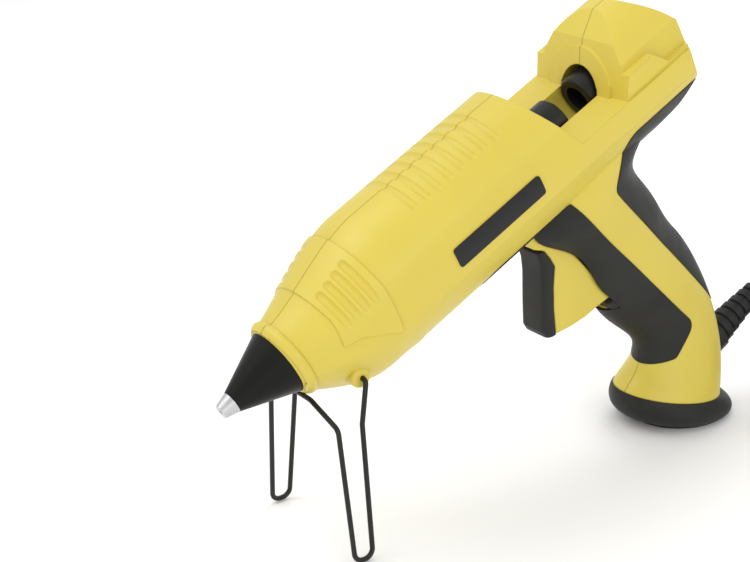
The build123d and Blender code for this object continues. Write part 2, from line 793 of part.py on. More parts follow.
def housing_screws():
    screws = []
    for x, z in screw_places:
        shank = bar_y(x, z, screw_radius, screw_tip_y, screw_seat_y)
        head = bar_y(x, z, screw_head_radius, screw_seat_y, screw_seat_y + screw_head)
        top_y = screw_seat_y + screw_head
        slot = block(x - 2.2, x + 2.2, top_y - 0.9, top_y + 1, z - 0.4, z + 0.4)
        screws.append(shank + head - slot)
    return screws


# ================================================================ foot

def ellipse_on(front, rear, half_width):
    run_x = rear[0] - front[0]
    run_z = rear[1] - front[1]
    middle = ((front[0] + rear[0]) / 2, 0, (front[1] + rear[1]) / 2)
    plane = Plane(origin=middle, x_dir=(run_x, 0, run_z), z_dir=(run_z, 0, -run_x))
    return plane * Ellipse(math.hypot(run_x, run_z) / 2, half_width).face()


def foot_level(height, half_length, half_width):
    """Ellipse parallel to the flat face, at a height above it."""
    middle_x = foot_x + height * sin_tilt
    middle_z = foot_z + height * cos_tilt
    front = (middle_x - half_length * cos_tilt, middle_z + half_length * sin_tilt)
    rear = (middle_x + half_length * cos_tilt, middle_z - half_length * sin_tilt)
    return ellipse_on(front, rear, half_width)


def foot_cap():
    faces = [ellipse_on(*station) for station in foot_stations]
    faces.append(foot_level(foot_edge, *foot_side))
    faces.append(foot_level(0, *foot_flat))
    body = loft(faces)
    middle, along, up = seam_frame()
    above = Plane(origin=middle, x_dir=along, z_dir=up)
    body = body - above * Pos(0, 0, 20) * Box(120, 120, 40)
    for side in (-1, 1):
        start, axis = foot_screw_axis(side)
        body = body - rod_along(start - axis * 30, axis, 40, screw_radius + seat_gap)
        body = body - rod_along(start - axis * 40, axis, 40 - foot_screw_down, screw_head_radius + 0.3)
    return body


def foot_screws():
    screws = []
    for side in (-1, 1):
        start, axis = foot_screw_axis(side)
        shank = rod_along(start - axis * foot_screw_down, axis, foot_screw_down + foot_screw_up, screw_radius)
        head = rod_along(start - axis * (foot_screw_down + screw_head), axis, screw_head, screw_head_radius)
        screws.append(shank + head)
    return screws


# ================================================================ hot end

def cone_radius_at(x):
    along = (x - tip_length) / (collar_x - tip_length)
    return tip_radius + 0.1 + (cone_base_radius - tip_radius - 0.1) * along


def nozzle_tip():
    outline = [(0, mouth_radius), (0, tip_front_radius), (tip_length - 0.1, tip_radius),
               (tip_length - 0.1, tip_stem_radius), (thread_rear_x - 14, tip_stem_radius),
               (thread_rear_x - 14, thread_radius), (thread_rear_x, thread_radius),
               (thread_rear_x, valve_radius), (valve_front_x + 1.6, valve_radius),
               (valve_front_x, mouth_radius)]
    body = turned(outline)
    hexagon = extrude(RegularPolygon(hex_radius, 6), hex_rear_x - hex_front_x)
    nut = Pos(hex_front_x, 0, 0) * Rot(0, 90, 0) * hexagon
    nut = nut - tube_x(hex_front_x - 1, hex_rear_x + 1, 3.5)
    return body + nut


def nozzle_bush():
    bore = tube_x(bush_front_x - 1, bush_rear_x + 1, 1.2)
    return tube_x(bush_front_x, bush_rear_x, valve_radius - 0.02) - bore


def ball_x():
    return valve_front_x + 1.6 + ball_radius


def nozzle_spring():
    start = ball_x() + ball_radius + 0.3
    height = bush_front_x - 0.3 - start
    return coil_spring(start, height, 5, 1.6, 0.25)


def coil_spring(start_x, height, turns, radius, wire_radius):
    centre = (start_x, 0, 0)
    path = Helix(pitch=height / turns, height=height, radius=radius, center=centre, direction=(1, 0, 0))
    section = Plane(origin=path @ 0, z_dir=path % 0) * Circle(wire_radius)
    return sweep(section, path=path, is_frenet=True)


def nozzle_cone():
    inner_front = hex_front_x - 0.6
    outline = [
        (tip_length, tip_stem_radius + 0.05), (tip_length, tip_radius + 0.1),
        (collar_x - seat_gap, cone_base_radius), (collar_x - seat_gap, skirt_radius),
        (skirt_rear_x, skirt_radius), (skirt_rear_x, skirt_radius - 1.5),
        (collar_x - 2, skirt_radius - 1.5), (inner_front, cone_radius_at(inner_front) - cone_wall),
        (inner_front, tip_stem_radius + 0.05),
    ]
    return turned(outline)


def melt_chamber():
    outline = [
        (chamber_front_x, thread_radius + seat_gap), (chamber_front_x, chamber_neck_radius),
        (chamber_front_x + 8, chamber_neck_radius), (chamber_front_x + 9.5, chamber_radius),
        (chamber_rear_x, chamber_radius), (chamber_rear_x, chamber_tail_radius),
        (chamber_tail_x, chamber_tail_radius), (chamber_tail_x, stick_bore + 0.2),
        (melt_rear_x, stick_bore), (melt_front_x, melt_radius), (thread_rear_x + 0.5, melt_radius),
        (thread_rear_x + 0.5, thread_radius + seat_gap),
    ]
    body = turned(outline)
    lobe = block(lobe_front_x, lobe_rear_x, -lobe_half_width, lobe_half_width, lobe_z, -8)
    lobe = lobe - tube_x(lobe_front_x - 1, lobe_rear_x + 1, chamber_radius - 1)
    half = heater_half_width + seat_gap
    slot = block(lobe_front_x - 1, lobe_rear_x + 1, -half, half, heater_low_z - seat_gap, heater_high_z + seat_gap)
    return body + lobe - slot


def heater_element():
    half = heater_half_width
    return block(heater_front_x, heater_rear_x, -half, half, heater_low_z, heater_high_z)


def heater_clamp():
    half = lobe_half_width + seat_gap
    low = lobe_z - seat_gap
    outside = half + clamp_leaf
    outer = block(clamp_front_x, clamp_rear_x, -outside, outside, low - clamp_leaf, clamp_top_z)
    return outer - block(clamp_front_x - 1, clamp_rear_x + 1, -half, half, low, clamp_top_z + 1)


def thermal_fuse():
    z = lobe_z - seat_gap - clamp_leaf - fuse_radius - seat_gap
    return tube_x(clamp_front_x, clamp_rear_x, fuse_radius, z)


def chamber_plate(x):
    return tube_x(x, x + plate_thickness, plate_radius) - tube_x(x - 1, x + 3, chamber_radius + seat_gap)


def inlet_sleeve():
    front = chamber_rear_x + seat_gap
    body = tube_x(front, inlet_rear_x, inlet_radius) - tube_x(front - 1, inlet_rear_x + 1, stick_bore + 0.1)
    return body - tube_x(front - 1, chamber_tail_x + seat_gap, chamber_tail_radius + seat_gap)


def inlet_clip():
    outer = tube_x(clip_front_x, clip_front_x + clip_width, inlet_radius + seat_gap + clip_thickness)
    ring = outer - tube_x(clip_front_x - 1, clip_front_x + clip_width + 1, inlet_radius + seat_gap)
    return ring - block(clip_front_x - 1, clip_front_x + clip_width + 1, -1.2, 1.2, 5, 20)


# ================================================================ feed

def rear_guide_sleeve():
    flange_rear = sleeve_flange_x + sleeve_flange_width
    outline = [
        (sleeve_front_x, stick_bore), (sleeve_front_x, tube_radius - 0.8), (sleeve_front_x + 0.8, tube_radius),
        (sleeve_flange_x, tube_radius), (sleeve_flange_x, sleeve_flange_radius),
        (flange_rear, sleeve_flange_radius), (flange_rear, tube_radius), (sleeve_rear_x, tube_radius),
        (sleeve_rear_x, funnel_radius), (sleeve_rear_x - 8, stick_bore),
    ]
    return turned(outline)


def lean():
    """The fork leans back by half the pull, so that the drive is even."""
    return math.radians(trigger_angle / 2)


def drive_x():
    return pivot_x + (drive_z - pivot_z) * math.tan(lean())


def carriage():
    outline = [
        (carriage_front_x, stick_bore), (carriage_front_x, tube_radius), (spring_ring_x, tube_radius),
        (spring_ring_x, spring_ring_radius), (spring_ring_x + spring_ring_width, spring_ring_radius),
        (spring_ring_x + spring_ring_width, tube_radius), (carriage_rear_x - 0.8, tube_radius),
        (carriage_rear_x, tube_radius - 0.8), (carriage_rear_x, stick_bore),
    ]
    body = turned(outline)
    lug = block(lug_front_x, lug_rear_x, -lug_half_width, lug_half_width, lug_z, -8)
    lug = lug - tube_x(lug_front_x - 1, lug_rear_x + 1, tube_radius - 1)
    half = pawl_half_width + run_gap
    window = block(pawl_window_front_x, pawl_window_rear_x, -half, half, -30, 0)
    body = body + lug - window
    body = body - bar_y(drive_x(), drive_z, drive_radius + seat_gap, -20, 20)
    return body - bar_y(pawl_x, pawl_z, pawl_pin_radius + seat_gap, -20, 20)


def drive_pin():
    return bar_y(drive_x(), drive_z, drive_radius, -drive_half_length, drive_half_length)


def pawl_pin():
    return bar_y(pawl_x, pawl_z, pawl_pin_radius, -lug_half_width, lug_half_width)


def stick_pawl():
    body = side_prism(pawl_line, -pawl_half_width, pawl_half_width)
    body = body + bar_y(pawl_x, pawl_z, pawl_hub, -pawl_half_width, pawl_half_width)
    return body - bar_y(pawl_x, pawl_z, pawl_pin_radius + pin_gap, -20, 20)


def return_spring():
    start = guide_front_x + guide_front_width + spring_wire / 2 + 0.05
    end = spring_ring_x - spring_wire / 2 - 0.05
    return coil_spring(start, end - start, spring_turns, spring_radius, spring_wire / 2)


def trigger_pivot_pin():
    return bar_y(pivot_x, pivot_z, pivot_radius, -pivot_half_length, pivot_half_length)


def trigger_body():
    line = [(158.5, -26), (157.8, -34), (160.2, -42)] + list(reversed(pad_back))
    line += trigger_sole + [(190.5, -96), (183.5, -76), (176.5, -52), (171.4, -30)]
    body = side_prism(line, -trigger_half_width, trigger_half_width)
    hollow = [(164, -49), (169, -53), (167.5, -61), (161, -73), (154.5, -86), (168, -97), (181, -96),
              (210, -96), (200, -52), (172, -44)]
    inner = trigger_half_width - trigger_wall
    body = body - side_prism(hollow, -inner, inner)
    body = body + bar_y(pivot_x, pivot_z, hub_radius, -trigger_half_width, trigger_half_width)
    for side in (-1, 1):
        body = body + fork_cheek(side)
    return body - bar_y(pivot_x, pivot_z, pivot_radius + pin_gap, -20, 20)


def fork_cheek(side):
    """Arm beside the lug with the slot for the cross pin."""
    y_from = min(side * fork_inner, side * fork_outer)
    y_to = max(side * fork_inner, side * fork_outer)
    tip_radius_here = drive_radius + run_gap + fork_stock
    half = tip_radius_here
    arm = block(-half, half, y_from, y_to, 0, drive_z - pivot_z)
    arm = Pos(pivot_x, 0, pivot_z) * Rot(0, math.degrees(lean()), 0) * arm
    arm = arm + bar_y(drive_x(), drive_z, tip_radius_here, y_from, y_to)
    stretch = Vector(math.sin(lean()), 0, math.cos(lean())) * 0.25
    for way in (-1, 1):
        place_x = drive_x() + way * stretch.X
        place_z = drive_z + way * stretch.Z
        arm = arm - bar_y(place_x, place_z, drive_radius + run_gap, -20, 20)
    return arm


def trigger_pad():
    half = pad_half_width
    line = pad_front + pad_back
    body = side_prism(line, -half, half, [1.5, 2, 4, 0, 1.0, 0, 0, 0, 0, 0])
    return body


# ================================================================ stand

def stand_toe(y, end):
    """Corner of a hairpin, one wire radius above the table."""
    radius = stand_wire / 2
    height = (radius - (stand_toe_x - foot_x) * sin_tilt) / cos_tilt
    z = foot_z + height
    return (stand_toe_x + end * stand_toe_half_length * cos_tilt, y, z - end * stand_toe_half_length * sin_tilt)


def stand_side(side):
    """Wire points of one leg, from the boss to the crossbar."""
    return [
        (stand_pivot_x, side * (stand_boss_half_span - stand_pin_depth), stand_pivot_z),
        (stand_pivot_x, side * stand_hip_y, stand_pivot_z),
        (stand_rear_knee[0], side * stand_rear_knee[1], stand_rear_knee[2]),
        stand_toe(side * stand_toe_y, 1),
        stand_toe(side * stand_toe_y, -1),
        (stand_front_knee[0], side * stand_front_knee[1], stand_front_knee[2]),
        (stand_bar[0], side * stand_bar[1], stand_bar[2]),
    ]


def wire_stand():
    points = stand_side(-1) + list(reversed(stand_side(1)))
    return pipe(points, stand_bend, stand_wire / 2)


# ================================================================ electrics

def boot_place(shape):
    return Pos(boot_x, 0, boot_z) * Rot(0, -boot_pitch, 0) * shape


def strain_relief():
    outline = [(-9, cord_radius + seat_gap), (-9, boot_flange_radius), (-6, boot_flange_radius),
               (-6, boot_neck_radius), (-2, boot_neck_radius), (-2, boot_collar_radius), (5, boot_collar_radius)]
    start = 5.0
    step = (boot_length - start) / boot_rings
    for i in range(boot_rings):
        along = i / (boot_rings - 1)
        radius = boot_root_radius + (boot_end_radius + 0.6 - boot_root_radius) * along
        here = start + i * step
        outline += [(here, radius - boot_groove), (here + 0.4 * step, radius - boot_groove),
                    (here + 0.4 * step, radius), (here + step, radius)]
    outline.append((boot_length, cord_radius + seat_gap))
    return boot_place(turned(outline))


def terminal_block():
    body = block(terminal_front_x, terminal_rear_x, -terminal_half_width, terminal_half_width,
                 terminal_low_z, terminal_high_z)
    for side in (-1, 1):
        body = body - rod_along(Vector(terminal_front_x - 1, side * 4, -142), Vector(1, 0, 0), 4, 1.8)
    return body


def lead(side):
    bottom = (terminal_x, side * 3.5, terminal_high_z)
    points = [
        (heater_rear_x, side * 3.2, -15.4), (112, side * 3.2, -15.4), (124, side * lead_y, lead_z),
        (196, side * lead_y, lead_z), (210, side * 12, -46), (210, side * 12, -106),
        (terminal_x, side * 3.5, -126), bottom,
    ]
    return pipe(points, 5.0, lead_radius)


def saddle_middle_x():
    return (saddle_front_x + saddle_rear_x) / 2


def cord_bore():
    """Where the cord passes between the clamp and its rib."""
    start = boot_point((cord_end_x - 3 - boot_x) / math.cos(math.radians(boot_pitch)))
    return rod_along(Vector(*start), boot_direction(), 12, cord_radius + seat_gap)


def cord_clamp():
    half = saddle_half_width
    body = block(saddle_front_x, saddle_rear_x, -half, half, saddle_seat_z, saddle_top_z)
    body = body - cord_bore()
    for side in (-1, 1):
        start = Vector(saddle_middle_x(), side * saddle_screw_y, saddle_seat_z - 1)
        body = body - rod_along(start, Vector(0, 0, 1), 10, saddle_screw_radius + seat_gap)
    return body


def clamp_screws():
    screws = []
    up = Vector(0, 0, 1)
    for side in (-1, 1):
        tip = Vector(saddle_middle_x(), side * saddle_screw_y, saddle_seat_z - saddle_screw_depth)
        head = Vector(saddle_middle_x(), side * saddle_screw_y, saddle_top_z)
        shank = rod_along(tip, up, saddle_top_z - saddle_seat_z + saddle_screw_depth, saddle_screw_radius)
        screws.append(shank + rod_along(head, up, 1.6, 2.3))
    return screws


def supply_lead(side):
    """Core of the cord, from its cut end up to the terminal block."""
    points = [(terminal_x, side * 3.5, terminal_low_z), (terminal_x - 1.5, side * 3.0, -166),
              (cord_end_x, side * 1.6, cord_end_z())]
    return pipe(points, 3.0, lead_radius)


def on_table(point):
    """A point of the gun's frame, where it stands on the table."""
    x = point[0] - foot_x
    z = point[2] - foot_z
    return (x * cos_tilt - z * sin_tilt, point[1], x * sin_tilt + z * cos_tilt)


def boot_direction():
    turn = math.radians(boot_pitch)
    return Vector(math.cos(turn), 0, math.sin(turn))


def boot_point(along):
    point = Vector(boot_x, 0, boot_z) + boot_direction() * along
    return (point.X, point.Y, point.Z)


def cord_end_z():
    return boot_z + (cord_end_x - boot_x) * math.tan(math.radians(boot_pitch))


def cord_inner():
    """Cord from the handle's inside to the end of the strain relief, in the gun's frame."""
    start = Vector(cord_end_x, 0, cord_end_z())
    length = (Vector(*boot_point(boot_length)) - start).length
    return rod_along(start, boot_direction(), length, cord_radius)


def cord_tube(points):
    """Tube along straight runs, with arcs as large as the runs allow."""
    vectors = [Vector(*point) for point in points]
    runs = [after - before for before, after in zip(vectors, vectors[1:])]
    radii = []
    for first, second in zip(runs, runs[1:]):
        turn = math.radians(first.get_angle(second))
        radii.append(0.45 * min(first.length, second.length) / math.tan(turn / 2))
    print("cord bend radii", [round(radius, 1) for radius in radii])
    path = FilletPolyline(*points, radius=radii)
    start = Plane(origin=path @ 0, z_dir=path % 0)
    return sweep(start * Circle(cord_radius), path=path)


def cord_run(coil):
    """Free cord from the strain relief to the coil, on the table."""
    points = [on_table(boot_point(boot_length)), on_table(boot_point(boot_length + first_run))]
    return largest(cord_tube(points + fall_points) - coil)


def cord_coil():
    ring = Cylinder(coil_outer_radius, coil_height) - Cylinder(coil_inner_radius, coil_height + 2)
    return Pos(coil_centre[0], coil_centre[1], coil_height / 2) * ring


def cord_tail(coil):
    return largest(cord_tube(tail_points) - coil)


def plug_turn():
    """The plug lies in line with the end of the cord."""
    before = tail_points[-2]
    end = tail_points[-1]
    heading = math.degrees(math.atan2(end[1] - before[1], end[0] - before[0]))
    return Pos(end[0], end[1], 0) * Rot(0, 0, heading) * Pos(plug_length / 2, 0, 0)


def plug_body():
    body = Pos(0, 0, plug_height / 2) * Box(plug_length, plug_width, plug_height)
    body = chamfer(body.edges().filter_by(Axis.Z).sort_by(Axis.X)[:2], 7.0)
    body = fillet(body.edges().filter_by(Axis.X), 2.5)
    for side in (-1, 1):
        hole = Pos(plug_length / 2, side * plug_pin_spacing / 2, plug_height / 2) * Rot(0, 90, 0)
        body = body - hole * Cylinder(plug_pin_radius + 0.02, 16)
    return plug_turn() * body


def plug_pin(side):
    length = plug_pin_length + 8
    pin = Pos(plug_length / 2 - 8 + length / 2, side * plug_pin_spacing / 2, plug_height / 2) * Rot(0, 90, 0)
    return plug_turn() * (pin * Cylinder(plug_pin_radius, length))


# ================================================================ assembly

def gun_pieces():
    """Every piece in the gun's own frame."""
    grips = grip_solids()
    boot = strain_relief()
    housing = housing_solid(grips, boot)
    pieces = {
        "left_housing": largest(half_of(housing, -1)),
        "right_housing": largest(half_of(housing, 1)),
        "front_grip_left": largest(half_of(grips[0], -1)),
        "front_grip_right": largest(half_of(grips[0], 1)),
        "rear_grip_left": largest(half_of(grips[1], -1)),
        "rear_grip_right": largest(half_of(grips[1], 1)),
        "foot_cap": foot_cap(),
        "nozzle_tip": nozzle_tip(),
        "nozzle_ball": Pos(ball_x(), 0, 0) * Sphere(ball_radius),
        "nozzle_spring": nozzle_spring(),
        "nozzle_bush": nozzle_bush(),
        "nozzle_cone": nozzle_cone(),
        "melt_chamber": melt_chamber(),
        "heater_element": heater_element(),
        "heater_clamp": heater_clamp(),
        "thermal_fuse": thermal_fuse(),
        "chamber_plate_front": chamber_plate(plate_front_x),
        "chamber_plate_rear": chamber_plate(plate_rear_x),
        "inlet_sleeve": inlet_sleeve(),
        "inlet_clip": inlet_clip(),
        "rear_guide_sleeve": rear_guide_sleeve(),
        "carriage": carriage(),
        "drive_pin": drive_pin(),
        "pawl_pin": pawl_pin(),
        "stick_pawl": stick_pawl(),
        "return_spring": return_spring(),
        "trigger_pivot_pin": trigger_pivot_pin(),
        "trigger_body": trigger_body(),
        "trigger_pad": trigger_pad(),
        "wire_stand": wire_stand(),
        "strain_relief": boot,
        "terminal_block": terminal_block(),
        "heater_lead_left": lead(-1),
        "heater_lead_right": lead(1),
        "supply_lead_left": supply_lead(-1),
        "supply_lead_right": supply_lead(1),
        "cord_clamp": cord_clamp(),
        "cord_inner": cord_inner(),
    }
    for name, group in (("housing_screw", housing_screws()), ("foot_screw", foot_screws()),
                        ("clamp_screw", clamp_screws())):
        for i, screw in enumerate(group):
            pieces[f"{name}_{i + 1}"] = screw
    return pieces


def table_pieces():
    """The cord beyond the strain relief, already on the table."""
    coil = cord_coil()
    return {
        "cord_run": cord_run(coil),
        "cord_coil": coil,
        "cord_tail": cord_tail(coil),
        "plug_body": plug_body(),
        "plug_pin_left": plug_pin(-1),
        "plug_pin_right": plug_pin(1),
    }


def export_all():
    os.makedirs("parts", exist_ok=True)
    pieces = {name: place(shape) for name, shape in gun_pieces().items()}
    pieces.update(table_pieces())
    for name, shape in pieces.items():
        export_step(shape, f"parts/{name}.step")


if __name__ == "__main__":
    export_all()
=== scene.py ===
"""Looks of a trigger-fed hot glue gun that stands on its foot and its folded-out wire stand."""

import json
import math

import bpy
from mathutils import Euler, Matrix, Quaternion, Vector


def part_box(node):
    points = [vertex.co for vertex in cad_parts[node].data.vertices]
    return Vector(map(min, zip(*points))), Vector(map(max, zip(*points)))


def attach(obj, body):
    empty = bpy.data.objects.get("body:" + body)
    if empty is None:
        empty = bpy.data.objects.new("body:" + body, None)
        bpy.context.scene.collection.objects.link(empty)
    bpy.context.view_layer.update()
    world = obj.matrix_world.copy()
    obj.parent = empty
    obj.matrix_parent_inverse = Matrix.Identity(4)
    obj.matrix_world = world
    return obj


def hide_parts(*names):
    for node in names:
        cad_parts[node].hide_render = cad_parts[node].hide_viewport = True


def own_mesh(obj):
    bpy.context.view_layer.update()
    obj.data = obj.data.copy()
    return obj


bl_info = {
    "name": "Glue Gun Looks",
    "version": (1, 0, 0),
    "blender": (4, 5, 0),
    "location": "View3D > Sidebar > Glue Gun",
    "description": "Finishes, cord and stage for a trigger-fed hot glue gun",
    "category": "Object",
}

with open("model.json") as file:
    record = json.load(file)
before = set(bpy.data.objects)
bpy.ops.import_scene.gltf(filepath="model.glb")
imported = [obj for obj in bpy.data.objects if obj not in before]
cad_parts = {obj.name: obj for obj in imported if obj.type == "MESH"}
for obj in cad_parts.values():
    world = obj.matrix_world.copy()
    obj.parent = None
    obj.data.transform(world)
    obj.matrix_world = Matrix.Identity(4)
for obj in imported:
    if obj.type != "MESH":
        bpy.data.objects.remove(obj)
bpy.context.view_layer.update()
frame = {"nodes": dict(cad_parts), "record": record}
MM = 0.001
WELD = 0.00003              # points closer than this are one
SHARP = math.radians(28)    # an edge that turns by more than this is softened
SOFT_SEGMENTS = 3           # steps in a softened edge
WIRE_FACETS = 5             # bevel resolution of wires and the cord

# an edge that turns by less than this is shaded as one surface
SMOOTH_SOLID = math.radians(32)
SMOOTH_PLATE = math.radians(35)
SMOOTH_RELIEF = math.radians(40)
SMOOTH_WIRE = math.radians(60)


# ---------------------------------------------------------------- settings


class StageSettings(bpy.types.PropertyGroup):
    camera_place: bpy.props.FloatVectorProperty(
        name="Camera place", description="Where the camera stands",
        default=(-0.5581, -0.5031, 0.3420), subtype="TRANSLATION", unit="LENGTH")
    azimuth: bpy.props.FloatProperty(
        name="Azimuth", description="Turn of the view about the vertical",
        default=math.radians(-35.72), subtype="ANGLE")
    elevation: bpy.props.FloatProperty(
        name="Elevation", description="How far the view looks down", default=math.radians(20.36),
        subtype="ANGLE")
    roll: bpy.props.FloatProperty(
        name="Roll", description="Tilt of the camera about its own axis",
        default=math.radians(0.62), subtype="ANGLE")
    lens: bpy.props.FloatProperty(
        name="Lens", description="Focal length on a 36 mm sensor", default=73.9, unit="CAMERA")
    floor_size: bpy.props.FloatProperty(
        name="Floor size", description="Side of the floor", default=12.0, unit="LENGTH")
    floor_colour: bpy.props.FloatVectorProperty(
        name="Floor colour", description="Plain pale floor", default=(0.93, 0.93, 0.93),
        subtype="COLOR")
    key_power: bpy.props.FloatProperty(
        name="Key light", description="Power of the large light above the nose", default=5.6,
        unit="POWER")
    fill_power: bpy.props.FloatProperty(
        name="Fill light", description="Power of the light beside the camera", default=3.9,
        unit="POWER")
    rim_power: bpy.props.FloatProperty(
        name="Rim light", description="Power of the light behind the gun", default=5.0,
        unit="POWER")
    sky_strength: bpy.props.FloatProperty(
        name="Sky", description="Even light from all round", default=0.85)


class FinishSettings(bpy.types.PropertyGroup):
    shell_colour: bpy.props.FloatVectorProperty(
        name="Shell", description="Moulded yellow plastic", default=(0.640, 0.510, 0.066),
        subtype="COLOR")
    grip_colour: bpy.props.FloatVectorProperty(
        name="Grips", description="Soft dark rubber", default=(0.022, 0.022, 0.020),
        subtype="COLOR")
    cone_colour: bpy.props.FloatVectorProperty(
        name="Cone", description="Heat-proof nozzle cover", default=(0.008, 0.008, 0.007),
        subtype="COLOR")
    tube_colour: bpy.props.FloatVectorProperty(
        name="Stick way", description="Glass-filled plastic of the stick way",
        default=(0.010, 0.010, 0.010), subtype="COLOR")
    wire_colour: bpy.props.FloatVectorProperty(
        name="Wire", description="Satin black stand", default=(0.014, 0.014, 0.013),
        subtype="COLOR")
    cord_colour: bpy.props.FloatVectorProperty(
        name="Cord", description="Rubber cord, strain relief and plug",
        default=(0.016, 0.016, 0.016), subtype="COLOR")
    tip_colour: bpy.props.FloatVectorProperty(
        name="Tip", description="Bare nozzle metal", default=(0.55, 0.55, 0.56), subtype="COLOR")


class PlateSettings(bpy.types.PropertyGroup):
    front: bpy.props.FloatProperty(
        name="Front", description="Front end, along the barrel from the nozzle's mouth",
        default=0.1125, unit="LENGTH")
    rear: bpy.props.FloatProperty(
        name="Rear", description="Rear end", default=0.1646, unit="LENGTH")
    low: bpy.props.FloatProperty(
        name="Low", description="Lower edge, from the stick's axis", default=-0.0031, unit="LENGTH")
    high: bpy.props.FloatProperty(
        name="High", description="Upper edge", default=0.0066, unit="LENGTH")
    thickness: bpy.props.FloatProperty(
        name="Thickness", description="How far it stands proud", default=0.0006, unit="LENGTH")
    corner: bpy.props.FloatProperty(
        name="Corner", description="Radius of its corners", default=0.0014, unit="LENGTH")


class ReliefSettings(bpy.types.PropertyGroup):
    collar_middle: bpy.props.FloatProperty(
        name="Collar", description="Place of the collar behind the cone", default=0.0346,
        unit="LENGTH")
    collar_width: bpy.props.FloatProperty(
        name="Collar width", description="Along the nose", default=0.0044, unit="LENGTH")
    collar_height: bpy.props.FloatProperty(
        name="Collar height", description="Above the nose", default=0.0011, unit="LENGTH")
    collar_reach: bpy.props.FloatProperty(
        name="Collar reach", description="Radius from which it is fitted", default=0.0190,
        unit="LENGTH")


class TriggerSettings(bpy.types.PropertyGroup):
    pad_half_width: bpy.props.FloatProperty(
        name="Pad half width", description="Half the finger pad's width", default=0.0090,
        unit="LENGTH")
    pad_round: bpy.props.FloatProperty(
        name="Pad rounding", description="Radius of the pad's front edges", default=0.0048,
        unit="LENGTH")
    pad_edge: bpy.props.FloatProperty(
        name="Pad edge", description="Width of the pad's softened edges", default=0.0012,
        unit="LENGTH")
    half_width: bpy.props.FloatProperty(
        name="Trigger half width", description="Half the trigger's width", default=0.0086,
        unit="LENGTH")
    edge: bpy.props.FloatProperty(
        name="Trigger edge", description="Width of the trigger's softened edges", default=0.0011,
        unit="LENGTH")
    sill_half_width: bpy.props.FloatProperty(
        name="Sill half width", description="Half the width of the slot's sill", default=0.0096,
        unit="LENGTH")
    sill_round: bpy.props.FloatProperty(
        name="Sill rounding", description="Radius of the sill's front edges", default=0.0036,
        unit="LENGTH")
    sill_edge: bpy.props.FloatProperty(
        name="Sill edge", description="Width of the sill's softened edges", default=0.0006,
        unit="LENGTH")


class StandSettings(bpy.types.PropertyGroup):
    wire: bpy.props.FloatProperty(
        name="Wire", description="Diameter of the wire", default=0.0023, unit="LENGTH")
    toe_place: bpy.props.FloatProperty(
        name="Toes", description="Where the toes stand, along the table", default=-0.2243,
        unit="LENGTH")
    toe_half: bpy.props.FloatProperty(
        name="Toe half length", description="Half the space between a leg's wires", default=0.0046,
        unit="LENGTH")
    toe_spread: bpy.props.FloatProperty(
        name="Toe spread", description="From the middle to a leg's toes", default=0.0333,
        unit="LENGTH")
    toe_bend: bpy.props.FloatProperty(
        name="Toe bend", description="Radius at the toes", default=0.0041, unit="LENGTH")
    bend: bpy.props.FloatProperty(
        name="Bend", description="Radius of the other bends", default=0.004, unit="LENGTH")
    eye_bend: bpy.props.FloatProperty(
        name="Eye bend", description="Radius beside the bosses", default=0.0022, unit="LENGTH")


class SpringSettings(bpy.types.PropertyGroup):
    seat: bpy.props.FloatProperty(
        name="Seat", description="Rear of the rib it rests on", default=0.1425, unit="LENGTH")
    length: bpy.props.FloatProperty(
        name="Length", description="From the rib to the carriage at rest", default=0.0145,
        unit="LENGTH")
    travel: bpy.props.FloatProperty(
        name="Travel", description="How far the carriage comes forward", default=0.004585,
        unit="LENGTH")
    radius: bpy.props.FloatProperty(
        name="Radius", description="Mean radius of the turns", default=0.0122, unit="LENGTH")
    wire: bpy.props.FloatProperty(
        name="Wire", description="Diameter of the wire", default=0.0011, unit="LENGTH")
    turns: bpy.props.IntProperty(name="Turns", description="Number of turns", default=4)


class CordSettings(bpy.types.PropertyGroup):
    length: bpy.props.FloatProperty(
        name="Length", description="From the strain relief to the plug", default=1.7, unit="LENGTH")
    diameter: bpy.props.FloatProperty(
        name="Diameter", description="Round rubber cord", default=0.0065, unit="LENGTH")
    inner_turn: bpy.props.FloatProperty(
        name="Inner turn", description="Radius of the innermost turn", default=0.0278,
        unit="LENGTH")
    outer_turn: bpy.props.FloatProperty(
        name="Outer turn", description="Radius of the outermost turn", default=0.0388,
        unit="LENGTH")
    layers: bpy.props.IntProperty(
        name="Layers", description="Layers of turns in the coil", default=4)
    points_per_turn: bpy.props.IntProperty(
        name="Points in a turn", description="Control points", default=16)
    layer_steps: bpy.props.IntProperty(
        name="Points in a layer", description="Control points", default=28)
    start_angle: bpy.props.FloatProperty(
        name="Start angle", description="Where the first turn begins", default=math.radians(-95.0),
        subtype="ANGLE")


# ---------------------------------------------------------------- the gun's own frame

STAND_TILT = math.radians(29.3)
NOZZLE_MOUTH = Vector((-0.27370, 0.0, 0.07047))


def on_gun(x, y, z):
    """A point given along the barrel from the nozzle's mouth, across, and square to the barrel."""
    cos, sin = math.cos(STAND_TILT), math.sin(STAND_TILT)
    return NOZZLE_MOUTH + Vector((x * cos - z * sin, y, x * sin + z * cos))


# ---------------------------------------------------------------- shared helpers


def deselect_all():
    bpy.ops.object.select_all(action="DESELECT")


def activate(obj):
    deselect_all()
    obj.select_set(True)
    bpy.context.view_layer.objects.active = obj


def settle(obj):
    """The finished piece's place goes into its mesh."""
    activate(obj)
    bpy.ops.object.transform_apply(location=True, rotation=True, scale=True)


def give(obj, material):
    obj.data.materials.clear()
    obj.data.materials.append(material)


def edit(obj, action="DESELECT"):
    activate(obj)
    bpy.ops.object.mode_set(mode="EDIT")
    bpy.ops.mesh.select_all(action=action)


def close_edit():
    bpy.ops.object.mode_set(mode="OBJECT")


def face_outwards(obj):
    edit(obj, "SELECT")
    bpy.ops.mesh.normals_make_consistent(inside=False)
    close_edit()


